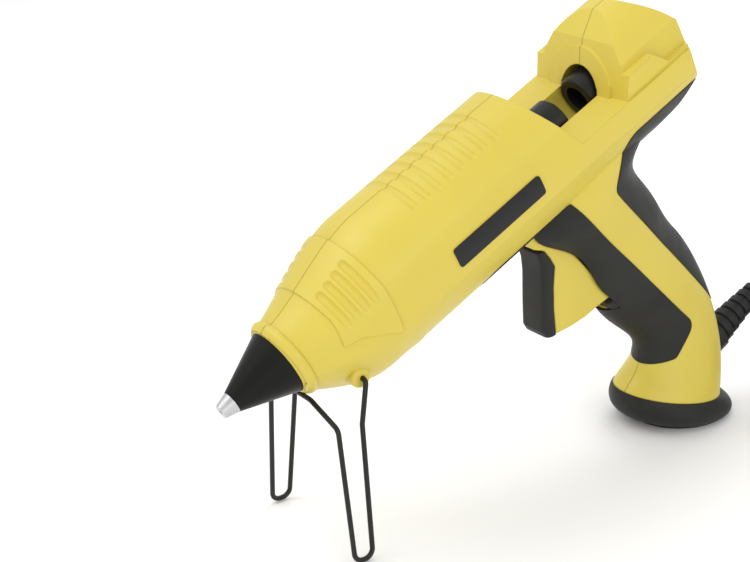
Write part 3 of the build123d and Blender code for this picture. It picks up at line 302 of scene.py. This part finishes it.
def pick_edges(obj, wanted):
    """Goes into edit mode with those edges selected whose ends pass wanted(first, second)."""
    edit(obj)
    bpy.ops.mesh.select_mode(type="EDGE")
    close_edit()
    for edge in obj.data.edges:
        edge.select = wanted(*[obj.data.vertices[i].co for i in edge.vertices])
    bpy.ops.object.mode_set(mode="EDIT")


def apply_modifier(obj, kind, **settings):
    """Works a modifier with these settings into the mesh."""
    activate(obj)
    modifier = obj.modifiers.new(kind, kind)
    for name, value in settings.items():
        setattr(modifier, name, value)
    bpy.ops.object.modifier_apply(modifier=modifier.name)


def dress(obj, material, slot, body, *replaced):
    """Gives a piece its finish and body, and the solids it stands for; the slot is not used."""
    give(obj, bpy.data.materials[material])
    if replaced:
        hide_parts(*replaced)
    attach(obj, body)


def weld(obj):
    """Leaves edit mode and merges points that fell together."""
    close_edit()
    edit(obj, "SELECT")
    bpy.ops.mesh.remove_doubles(threshold=WELD)
    bpy.ops.mesh.dissolve_degenerate(threshold=WELD / 10)
    close_edit()


# ---------------------------------------------------------------- finishes

# the parts of the noise that are stretched over a colour's and a roughness's range
COLOUR_RAMP = (0.35, 0.65)
ROUGH_RAMP = (0.3, 0.7)
GRAIN_STRENGTH = 0.35
GRAIN_DETAIL = 2.0


def empty_material(name):
    material = bpy.data.materials.new(name)
    material.use_nodes = True
    tree = material.node_tree
    tree.nodes.clear()
    output = tree.nodes.new("ShaderNodeOutputMaterial")
    shader = tree.nodes.new("ShaderNodeBsdfPrincipled")
    tree.links.new(shader.outputs["BSDF"], output.inputs["Surface"])
    return material, tree, shader


def noise(tree, scale, detail=3.0):
    """Noise fixed to the piece; a larger scale is finer."""
    where = tree.nodes.new("ShaderNodeTexCoord")
    texture = tree.nodes.new("ShaderNodeTexNoise")
    texture.inputs["Scale"].default_value = scale
    texture.inputs["Detail"].default_value = detail
    tree.links.new(where.outputs["Object"], texture.inputs["Vector"])
    return texture.outputs["Fac"]


def vary_colour(tree, shader, colour, spread, scale):
    """Slow, slight unevenness in the colour."""
    ramp = tree.nodes.new("ShaderNodeValToRGB")
    low, high = ramp.color_ramp.elements
    low.position, high.position = COLOUR_RAMP
    low.color = (*[channel * (1 - spread) for channel in colour], 1)
    high.color = (*[min(1.0, channel * (1 + spread)) for channel in colour], 1)
    tree.links.new(noise(tree, scale), ramp.inputs["Fac"])
    tree.links.new(ramp.outputs["Color"], shader.inputs["Base Color"])


def vary_roughness(tree, shader, rough, scale):
    """Roughness that wanders between two values."""
    spread = tree.nodes.new("ShaderNodeMapRange")
    for socket, value in zip(("From Min", "From Max", "To Min", "To Max"), (*ROUGH_RAMP, *rough)):
        spread.inputs[socket].default_value = value
    tree.links.new(noise(tree, scale), spread.inputs["Value"])
    tree.links.new(spread.outputs["Result"], shader.inputs["Roughness"])


def grain(tree, shader, scale, height, edge):
    """Fine moulded grain, over slightly rounded edges."""
    bump = tree.nodes.new("ShaderNodeBump")
    bump.inputs["Strength"].default_value = GRAIN_STRENGTH
    bump.inputs["Distance"].default_value = height
    tree.links.new(noise(tree, scale, GRAIN_DETAIL), bump.inputs["Height"])
    if edge:
        bevel = tree.nodes.new("ShaderNodeBevel")
        bevel.samples = 6
        bevel.inputs["Radius"].default_value = edge
        tree.links.new(bevel.outputs["Normal"], bump.inputs["Normal"])
    tree.links.new(bump.outputs["Normal"], shader.inputs["Normal"])


def moulded_plastic(name, colour, rough, edge=0.0, spread=0.03, gloss=0.5):
    material, tree, shader = empty_material(name)
    vary_colour(tree, shader, colour, spread, scale=18.0)
    vary_roughness(tree, shader, rough, scale=60.0)
    grain(tree, shader, scale=2600.0, height=0.00006, edge=edge)
    shader.inputs["IOR"].default_value = 1.5
    shader.inputs["Specular IOR Level"].default_value = gloss
    return material


def soft_rubber(name, colour, rough, edge=0.0006, gloss=0.25):
    material, tree, shader = empty_material(name)
    vary_colour(tree, shader, colour, spread=0.12, scale=30.0)
    vary_roughness(tree, shader, rough, scale=90.0)
    grain(tree, shader, scale=3400.0, height=0.00008, edge=edge)
    shader.inputs["IOR"].default_value = 1.48
    shader.inputs["Specular IOR Level"].default_value = gloss
    return material


def turned_metal(name, colour, rough, metallic=1.0):
    """Metal with faint tool marks."""
    material, tree, shader = empty_material(name)
    vary_colour(tree, shader, colour, spread=0.06, scale=120.0)
    vary_roughness(tree, shader, rough, scale=400.0)
    grain(tree, shader, scale=1800.0, height=0.00003, edge=0.0003)
    shader.inputs["Metallic"].default_value = metallic
    return material


def finishes(settings):
    """The finish of each material slot."""
    return {
        "yellow_plastic": moulded_plastic(
            "yellow_shell", settings.shell_colour, (0.36, 0.46), edge=0.0007, spread=0.02),
        "grip_rubber": soft_rubber("charcoal_grip", settings.grip_colour, (0.43, 0.55), gloss=0.2),
        "tip_metal": turned_metal("nozzle_metal", settings.tip_colour, (0.28, 0.42), metallic=0.85),
        "black_silicone": soft_rubber(
            "nozzle_cone_black", settings.cone_colour, (0.31, 0.43), edge=0.0003, gloss=0.16),
        "aluminium": turned_metal("cast_aluminium", (0.70, 0.70, 0.71), (0.36, 0.50)),
        "insulator": moulded_plastic(
            "mica", (0.42, 0.33, 0.20), (0.5, 0.7), edge=0.0002, spread=0.15),
        "black_plastic": moulded_plastic(
            "stick_way_black", settings.tube_colour, (0.26, 0.36), edge=0.0004, spread=0.1,
            gloss=0.3),
        "white_insulator": moulded_plastic(
            "white_insulator", (0.74, 0.73, 0.68), (0.5, 0.6), edge=0.0002),
        "stand_wire": moulded_plastic(
            "stand_wire_black", settings.wire_colour, (0.30, 0.42), spread=0.1, gloss=0.3),
        "cord_rubber": soft_rubber("cord_black", settings.cord_colour, (0.39, 0.51), edge=0.0003),
        "lead_sleeve": moulded_plastic(
            "glass_fibre_sleeve", (0.62, 0.58, 0.46), (0.7, 0.85), spread=0.1),
        "plug_brass": turned_metal("plug_brass", (0.80, 0.62, 0.30), (0.19, 0.33)),
        "steel": turned_metal("zinc_steel", (0.55, 0.56, 0.57), (0.28, 0.42)),
    }


class GLUEGUN_OT_finish_nodes(bpy.types.Operator):
    """Gives every carried-over solid the finish of its slot"""
    bl_idname = "glue_gun.finish_nodes"
    bl_label = "Finish the solids"

    def execute(self, context):
        made = finishes(context.scene.gun_finish)
        slots = {part["node"]: part["material_slot"] for part in frame["record"]["subparts"]}
        for node, obj in frame["nodes"].items():
            give(obj, made[slots[node]])
        return {"FINISHED"}


# ---------------------------------------------------------------- side plate

PLATE_STAND_OFF = 0.040     # where it starts, beside the barrel
PLATE_INSET = 0.0008        # rim of even width, before it is fitted to the barrel
PLATE_LEVELS = 4
PLATE_CORNER_STEPS = 5


class GLUEGUN_OT_side_plate(bpy.types.Operator):
    """Makes the plain dark plate on the left side of the barrel"""
    bl_idname = "glue_gun.side_plate"
    bl_label = "Side plate"

    def execute(self, context):
        plate = context.scene.gun_plate
        middle = on_gun((plate.front + plate.rear) / 2, -PLATE_STAND_OFF, (plate.low + plate.high) / 2)
        deselect_all()
        bpy.ops.mesh.primitive_plane_add(size=1, location=middle,
                                         rotation=(math.radians(90), -STAND_TILT, 0))
        obj = context.object
        obj.name = "side_plate"
        obj.scale = (plate.rear - plate.front, plate.high - plate.low, 1)
        settle(obj)
        edit(obj, "SELECT")
        bpy.ops.mesh.bevel(offset=plate.corner, offset_type="OFFSET", segments=PLATE_CORNER_STEPS,
                           affect="VERTICES")
        bpy.ops.mesh.inset(thickness=PLATE_INSET)
        bpy.ops.mesh.poke()
        close_edit()
        apply_modifier(obj, "SUBSURF", subdivision_type="SIMPLE", levels=PLATE_LEVELS,
                       render_levels=PLATE_LEVELS)
        apply_modifier(obj, "SHRINKWRAP", target=frame["nodes"]["left_housing"], wrap_method="PROJECT",
                       use_project_y=True, use_positive_direction=True, use_negative_direction=False)
        apply_modifier(obj, "SOLIDIFY", thickness=plate.thickness, offset=1.0)
        face_outwards(obj)
        bpy.ops.object.shade_smooth_by_angle(angle=SMOOTH_PLATE)
        dress(obj, "stick_way_black", "black_plastic", "gun")
        return {"FINISHED"}


# ---------------------------------------------------------------- raised relief on the housing

COLLAR_STEPS = (10, 40)     # along the nose and round it
SEAM_CLEARANCE = math.radians(0.8)
RELIEF_SINK = 0.00006       # the rim of a raised form lies this far under the surface
RELIEF_ROOT = 0.0006        # and its root this much further


def cling_sheet(side, steps, place, outward, lift):
    """Thin closed sheet on one housing half; a and b run from 0 to 1 along its two sides."""
    deselect_all()
    bpy.ops.mesh.primitive_grid_add(x_subdivisions=steps[0], y_subdivisions=steps[1], size=2)
    obj = bpy.context.object
    shares = [((vertex.co.x + 1) / 2, (vertex.co.y + 1) / 2) for vertex in obj.data.vertices]
    for vertex, (a, b) in zip(obj.data.vertices, shares):
        vertex.co = place(a, b)
    shell = frame["nodes"]["left_housing" if side < 0 else "right_housing"]
    apply_modifier(obj, "SHRINKWRAP", target=shell, wrap_method="NEAREST_SURFACEPOINT")
    for vertex, (a, b) in zip(obj.data.vertices, shares):
        vertex.co += outward(a, b) * lift(a, b)
    apply_modifier(obj, "SOLIDIFY", thickness=RELIEF_ROOT, offset=-1.0 if side < 0 else 1.0)
    face_outwards(obj)
    bpy.ops.object.shade_smooth_by_angle(angle=SMOOTH_RELIEF)
    return obj


def around_nose(side, reach, front, rear):
    """Place and way out for a, from front to rear, and b, from the top seam to the bottom seam."""
    axis = on_gun(0, 0, 0)

    def turn(b):
        return SEAM_CLEARANCE + (math.pi - 2 * SEAM_CLEARANCE) * b

    def place(a, b):
        return on_gun(front + (rear - front) * a,
                      side * reach * math.sin(turn(b)), reach * math.cos(turn(b)))

    def outward(a, b):
        return on_gun(0, side * math.sin(turn(b)), math.cos(turn(b))) - axis

    return place, outward


class GLUEGUN_OT_relief(bpy.types.Operator):
    """Raises the collar behind the cone"""
    bl_idname = "glue_gun.relief"
    bl_label = "Relief"

    def execute(self, context):
        relief = context.scene.gun_relief

        def collar(a, b):
            return relief.collar_height * 4 * a * (1 - a) - RELIEF_SINK

        front = relief.collar_middle - relief.collar_width / 2
        rear = relief.collar_middle + relief.collar_width / 2
        for side, word in ((-1, "left"), (1, "right")):
            place, outward = around_nose(side, relief.collar_reach, front, rear)
            sheet = cling_sheet(side, COLLAR_STEPS, place, outward, collar)
            sheet.name = "nose_collar_" + word
            dress(sheet, "yellow_shell", "yellow_plastic", "gun")
        return {"FINISHED"}


# ---------------------------------------------------------------- trigger

# along the barrel and square to it, in millimetres
PAD_FRONT = [(161.4, -46.0), (161.0, -52.0), (158.6, -59.0), (152.6, -71.5), (147.0, -84.0)]
PAD_END = [(147.4, -88.0), (152.3, -89.2)]
PAD_BACK = [(156.8, -76.5), (161.6, -66.0), (166.6, -57.4), (166.0, -52.0), (164.6, -46.2)]
TRIGGER_TOP = [(171.4, -30.0), (158.5, -26.0), (157.8, -34.0), (160.2, -42.0)]
TRIGGER_SOLE = [(161.4, -92.3), (171.1, -94.3), (178.9, -94.7), (190.5, -96.0), (183.5, -76.0),
                (176.5, -52.0)]
# below the trigger's sweep, in the lower end of its slot
SLOT_SILL = [(185.0, -98.9), (192.0, -96.6), (199.0, -93.3), (204.6, -90.1), (204.6, -103.8),
             (186.6, -103.8)]
PAD_SEGMENTS = 7
SILL_SEGMENTS = 5


def prism(name, outline, half_width):
    """Solid with one outline seen from the side."""
    deselect_all()
    bpy.ops.mesh.primitive_circle_add(vertices=len(outline), fill_type="NGON")
    obj = bpy.context.object
    obj.name = name
    for vertex, (x, z) in zip(obj.data.vertices, outline):
        vertex.co = on_gun(x * MM, -half_width, z * MM)
    edit(obj, "SELECT")
    bpy.ops.mesh.extrude_region_move(TRANSFORM_OT_translate={"value": (0, 2 * half_width, 0)})
    close_edit()
    face_outwards(obj)
    return obj


def soften(obj, width):
    """Small rounded edges on a solid."""
    apply_modifier(obj, "BEVEL", width=width, segments=SOFT_SEGMENTS, limit_method="ANGLE",
                   angle_limit=SHARP)
    bpy.ops.object.shade_smooth_by_angle(angle=SMOOTH_SOLID)


def side_view(places):
    return [on_gun(x * MM, 0, z * MM) for x, z in places]


def along_side(first, second):
    """An edge that lies in a side of a prism, not across it."""
    return abs(first.y - second.y) < MM


def touches(end, places):
    """Whether an edge's end is seen at one of the places from the side."""
    return any((Vector((end.x, 0, end.z)) - place).length < MM for place in places)


class GLUEGUN_OT_trigger(bpy.types.Operator):
    """Makes the trigger and its rounded finger pad"""
    bl_idname = "glue_gun.trigger"
    bl_label = "Trigger"

    def execute(self, context):
        trigger = context.scene.gun_trigger
        back = side_view(PAD_BACK + PAD_END[1:])
        pad = prism("finger_pad", PAD_FRONT + PAD_END + PAD_BACK, trigger.pad_half_width)

        def on_front(first, second):
            return along_side(first, second) and not (touches(first, back) or touches(second, back))

        pick_edges(pad, on_front)
        bpy.ops.mesh.bevel(offset=trigger.pad_round, segments=PAD_SEGMENTS, affect="EDGES",
                           clamp_overlap=True)
        weld(pad)
        soften(pad, trigger.pad_edge)
        weld(pad)
        dress(pad, "charcoal_grip", "grip_rubber", "trigger", "trigger_pad")
        line = TRIGGER_TOP + PAD_BACK[::-1] + PAD_END[1:] + TRIGGER_SOLE
        shell = prism("trigger_shell", line, trigger.half_width)
        soften(shell, trigger.edge)
        dress(shell, "yellow_shell", "yellow_plastic", "trigger", "trigger_body")
        return {"FINISHED"}


class GLUEGUN_OT_sill(bpy.types.Operator):
    """Closes the lower end of the trigger's slot"""
    bl_idname = "glue_gun.sill"
    bl_label = "Slot sill"

    def execute(self, context):
        trigger = context.scene.gun_trigger
        sill = prism("slot_sill", SLOT_SILL, trigger.sill_half_width)
        brow = side_view([SLOT_SILL[0], SLOT_SILL[-1]])

        def on_brow(first, second):
            return along_side(first, second) and touches(first, brow) and touches(second, brow)

        pick_edges(sill, on_brow)
        bpy.ops.mesh.bevel(offset=trigger.sill_round, segments=SILL_SEGMENTS, affect="EDGES",
                           clamp_overlap=True)
        close_edit()
        soften(sill, trigger.sill_edge)
        dress(sill, "charcoal_grip", "grip_rubber", "gun")
        return {"FINISHED"}


# ---------------------------------------------------------------- wire stand

# one leg in millimetres along the barrel, outwards and square to it: from its end in the boss down
# towards the toes, and from the toes up to the middle
STAND_REAR = [(53.2, 15.0, -19.0), (53.2, 24.6, -19.0), (41.5, 25.9, -34.3)]
STAND_FRONT = [(31.0, 26.3, -27.4), (33.0, 8.5, -19.8)]


def rounded_route(corners, radii, steps=8):
    """Points of a bent wire, with an arc at each inner corner."""
    points = [corners[0]]
    for before, corner, after, radius in zip(corners, corners[1:], corners[2:], radii):
        inwards = (before - corner).normalized()
        outwards = (after - corner).normalized()
        half = inwards.angle(outwards) / 2
        reach = radius / math.tan(half)
        centre = corner + (inwards + outwards).normalized() * radius / math.sin(half)
        first = corner + inwards * reach - centre
        last = corner + outwards * reach - centre
        for i in range(steps + 1):
            points.append(centre + first.normalized().slerp(last.normalized(), i / steps) * radius)
    points.append(corners[-1])
    return points


def fill_curve(data, kind, route, diameter):
    """Gives a curve its points and its round section."""
    data.bevel_depth = diameter / 2
    data.bevel_resolution = WIRE_FACETS
    data.use_fill_caps = True
    spline = data.splines.new(kind)
    spline.points.add(len(route) - 1)
    for point, where in zip(spline.points, route):
        point.co = (*where, 1.0)
    return spline


def wire_along(name, route, diameter):
    """Round wire along a route, as a mesh."""
    deselect_all()
    bpy.ops.curve.primitive_nurbs_path_add()
    wire = bpy.context.object
    wire.name = name
    wire.data.splines.clear()
    fill_curve(wire.data, "POLY", route, diameter)
    activate(wire)
    bpy.ops.object.convert(target="MESH")
    bpy.ops.object.shade_smooth_by_angle(angle=SMOOTH_WIRE)
    return wire


class GLUEGUN_OT_stand(bpy.types.Operator):
    """Bends the wire stand"""
    bl_idname = "glue_gun.stand"
    bl_label = "Stand"

    def execute(self, context):
        stand = context.scene.gun_stand
        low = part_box("wire_stand")[0].z + stand.wire / 2
        corners = []
        for side in (-1, 1):
            rear = [on_gun(x * MM, side * y * MM, z * MM) for x, y, z in STAND_REAR]
            front = [on_gun(x * MM, side * y * MM, z * MM) for x, y, z in STAND_FRONT]
            toes = [Vector((stand.toe_place + way * stand.toe_half, side * stand.toe_spread, low))
                    for way in (1, -1)]
            leg = rear + toes + front
            corners += leg if side < 0 else leg[::-1]
        bends = [stand.eye_bend, stand.bend, stand.toe_bend, stand.toe_bend, stand.bend, stand.bend]
        wire = wire_along("bent_wire", rounded_route(corners, bends + bends[::-1]), stand.wire)
        dress(wire, "stand_wire_black", "stand_wire", "stand", "wire_stand")
        return {"FINISHED"}


# ---------------------------------------------------------------- return spring

SPRING_STEPS = 24           # points in a turn
SPRING_END = 0.6            # the end turns' middle lies this share of the wire from the seats


class GLUEGUN_OT_spring(bpy.types.Operator):
    """Winds the return spring as it is at rest; it is not shortened for the carriage coming forward"""
    bl_idname = "glue_gun.spring"
    bl_label = "Return spring"

    def execute(self, context):
        spring = context.scene.gun_spring
        low = spring.seat + SPRING_END * spring.wire
        high = spring.seat + spring.length - SPRING_END * spring.wire
        steps = spring.turns * SPRING_STEPS
        route = []
        for i in range(steps + 1):
            turn = 2 * math.pi * i / SPRING_STEPS
            route.append(on_gun(low + (high - low) * i / steps, spring.radius * math.cos(turn),
                                spring.radius * math.sin(turn)))
        coil = wire_along("wound_spring", route, spring.wire)
        dress(coil, "zinc_steel", "steel", "gun", "return_spring")
        seat = on_gun(spring.seat, 0, 0)
        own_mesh(coil)
        return {"FINISHED"}


# ---------------------------------------------------------------- cord

# millimetres on the table: out of the strain relief, over and down to the coil
FALL_POINTS = [(51.23, 0.0, 55.72), (80.99, 0.0, 74.68), (119.0, -2.0, 69.5), (145.0, -15.0, 49.0),
               (154.0, -38.0, 33.0), (149.0, -58.0, 26.8), (133.0, -72.5, 23.6)]
# and from the coil to the plug
TAIL_POINTS = [(95.0, -73.8, 3.8), (79.0, -67.4, 5.4), (64.0, -65.5, 7.0)]
COIL_CENTRE = (115.0, -36.8)
COIL_LIFT = 0.0001          # the lowest turn's height over the table, in metres


def coil_points(cord):
    """Flat layers from the top of the coil to the table, wound inwards and outwards by turns."""
    steps = cord.points_per_turn
    layer_steps = cord.layer_steps
    climb_steps = steps // 4
    outer, inner = cord.outer_turn, cord.inner_turn
    points = []
    for i in range(cord.layers * layer_steps + 1):
        layer, step = divmod(i, layer_steps)
        if layer == cord.layers:
            layer, step = layer - 1, layer_steps
        last = layer == cord.layers - 1
        winding = min(1.0, step / (layer_steps if last else layer_steps - climb_steps))
        drop = max(0.0, (step - layer_steps + climb_steps) / climb_steps)
        inwards = layer % 2 == 0
        radius = outer + (inner - outer) * (winding if inwards else 1 - winding)
        level = cord.layers - 1 - layer - (0 if last else drop * drop * (3 - 2 * drop))
        angle = cord.start_angle - 2 * math.pi * i / steps
        points.append((COIL_CENTRE[0] * MM + radius * math.cos(angle),
                       COIL_CENTRE[1] * MM + radius * math.sin(angle),
                       COIL_LIFT + (0.5 + level) * cord.diameter))
    return points


class GLUEGUN_OT_cord(bpy.types.Operator):
    """Lays the cord, wound up beside the gun"""
    bl_idname = "glue_gun.cord"
    bl_label = "Cord"

    def execute(self, context):
        cord = context.scene.gun_cord
        route = [Vector(point) * MM for point in FALL_POINTS]
        route += [Vector(point) for point in coil_points(cord)]
        route += [Vector(point) * MM for point in TAIL_POINTS]
        data = bpy.data.curves.new("cord", "CURVE")
        data.dimensions = "3D"
        data.resolution_u = 6
        spline = fill_curve(data, "NURBS", route, cord.diameter)
        spline.order_u = 3
        spline.use_endpoint_u = True
        obj = bpy.data.objects.new("cord", data)
        context.scene.collection.objects.link(obj)
        give(obj, bpy.data.materials["cord_black"])
        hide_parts("cord_run", "cord_coil", "cord_tail")
        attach(obj, "gun")
        return {"FINISHED"}


# ---------------------------------------------------------------- stage

LIGHTS_AIM = (-0.05, 0, 0.12)
FLOOR_DROP = 0.0002         # keeps the floor clear of what stands on it
SENSOR_WIDTH = 36.0


def area_light(name, place, size, power):
    """Soft light that faces the gun."""
    data = bpy.data.lights.new(name, "AREA")
    data.shape = "RECTANGLE"
    data.size, data.size_y = size
    data.energy = power
    light = bpy.data.objects.new(name, data)
    light.location = place
    light.rotation_euler = (Vector(LIGHTS_AIM) - Vector(place)).to_track_quat("-Z", "Y").to_euler()
    bpy.context.scene.collection.objects.link(light)


def lay_floor(stage):
    deselect_all()
    bpy.ops.mesh.primitive_plane_add(size=stage.floor_size, location=(0, 0, -FLOOR_DROP))
    floor = bpy.context.object
    floor.name = "floor"
    material, tree, shader = empty_material("pale_floor")
    shader.inputs["Base Color"].default_value = (*stage.floor_colour, 1)
    shader.inputs["Roughness"].default_value = 0.9
    shader.inputs["Specular IOR Level"].default_value = 0.1
    give(floor, material)
    settle(floor)


def light_sky(stage):
    world = bpy.data.worlds.new("studio")
    world.use_nodes = True
    sky = world.node_tree.nodes["Background"]
    sky.inputs["Color"].default_value = (1, 1, 1, 1)
    sky.inputs["Strength"].default_value = stage.sky_strength
    bpy.context.scene.world = world


def place_camera(stage):
    data = bpy.data.cameras.new("camera")
    data.lens = stage.lens
    data.sensor_width = SENSOR_WIDTH
    camera = bpy.data.objects.new("camera", data)
    bpy.context.scene.collection.objects.link(camera)
    look = Euler((math.radians(90) - stage.elevation, 0, stage.azimuth)).to_quaternion()
    camera.rotation_mode = "QUATERNION"
    camera.rotation_quaternion = look @ Quaternion((0, 0, 1), stage.roll)
    camera.location = stage.camera_place
    bpy.context.scene.camera = camera


class GLUEGUN_OT_stage(bpy.types.Operator):
    """Sets the pale floor, the soft lights and the camera"""
    bl_idname = "glue_gun.stage"
    bl_label = "Stage"

    def execute(self, context):
        stage = context.scene.gun_stage
        lay_floor(stage)
        area_light("key_light", place=(-0.75, 0.35, 1.15), size=(0.9, 0.9), power=stage.key_power)
        area_light("fill_light", place=(-0.35, -1.15, 0.55), size=(1.2, 0.8), power=stage.fill_power)
        area_light("rim_light", place=(0.75, 0.65, 0.95), size=(0.8, 0.8), power=stage.rim_power)
        light_sky(stage)
        place_camera(stage)
        context.scene.view_settings.view_transform = "Standard"
        return {"FINISHED"}


# ---------------------------------------------------------------- panel and registration


class GLUEGUN_PT_panel(bpy.types.Panel):
    """Lists the steps that dress the glue gun"""
    bl_idname = "GLUEGUN_PT_panel"
    bl_label = "Glue gun"
    bl_space_type = "VIEW_3D"
    bl_region_type = "UI"
    bl_category = "Glue Gun"

    def draw(self, context):
        for operator in OPERATORS:
            self.layout.operator(operator.bl_idname)
        for place in SETTINGS:
            settings = getattr(context.scene, place)
            box = self.layout.box()
            for name in settings.__annotations__:
                box.prop(settings, name)


OPERATORS = (GLUEGUN_OT_stage, GLUEGUN_OT_finish_nodes, GLUEGUN_OT_cord, GLUEGUN_OT_side_plate,
             GLUEGUN_OT_relief, GLUEGUN_OT_trigger, GLUEGUN_OT_sill, GLUEGUN_OT_stand, GLUEGUN_OT_spring)
SETTINGS = {
    "gun_stage": StageSettings,
    "gun_finish": FinishSettings,
    "gun_plate": PlateSettings,
    "gun_cord": CordSettings,
    "gun_relief": ReliefSettings,
    "gun_trigger": TriggerSettings,
    "gun_stand": StandSettings,
    "gun_spring": SpringSettings,
}


def register():
    for group in SETTINGS.values():
        bpy.utils.register_class(group)
    for operator in OPERATORS:
        bpy.utils.register_class(operator)
    bpy.utils.register_class(GLUEGUN_PT_panel)
    for name, group in SETTINGS.items():
        setattr(bpy.types.Scene, name, bpy.props.PointerProperty(type=group))


def unregister():
    for name in SETTINGS:
        delattr(bpy.types.Scene, name)
    bpy.utils.unregister_class(GLUEGUN_PT_panel)
    for operator in reversed(OPERATORS):
        bpy.utils.unregister_class(operator)
    for group in reversed(list(SETTINGS.values())):
        bpy.utils.unregister_class(group)


def main():
    register()
    bpy.ops.glue_gun.stage()
    bpy.ops.glue_gun.finish_nodes()
    bpy.ops.glue_gun.cord()
    bpy.ops.glue_gun.side_plate()
    bpy.ops.glue_gun.relief()
    bpy.ops.glue_gun.trigger()
    bpy.ops.glue_gun.sill()
    bpy.ops.glue_gun.stand()
    bpy.ops.glue_gun.spring()


if __name__ == "__main__":
    main()
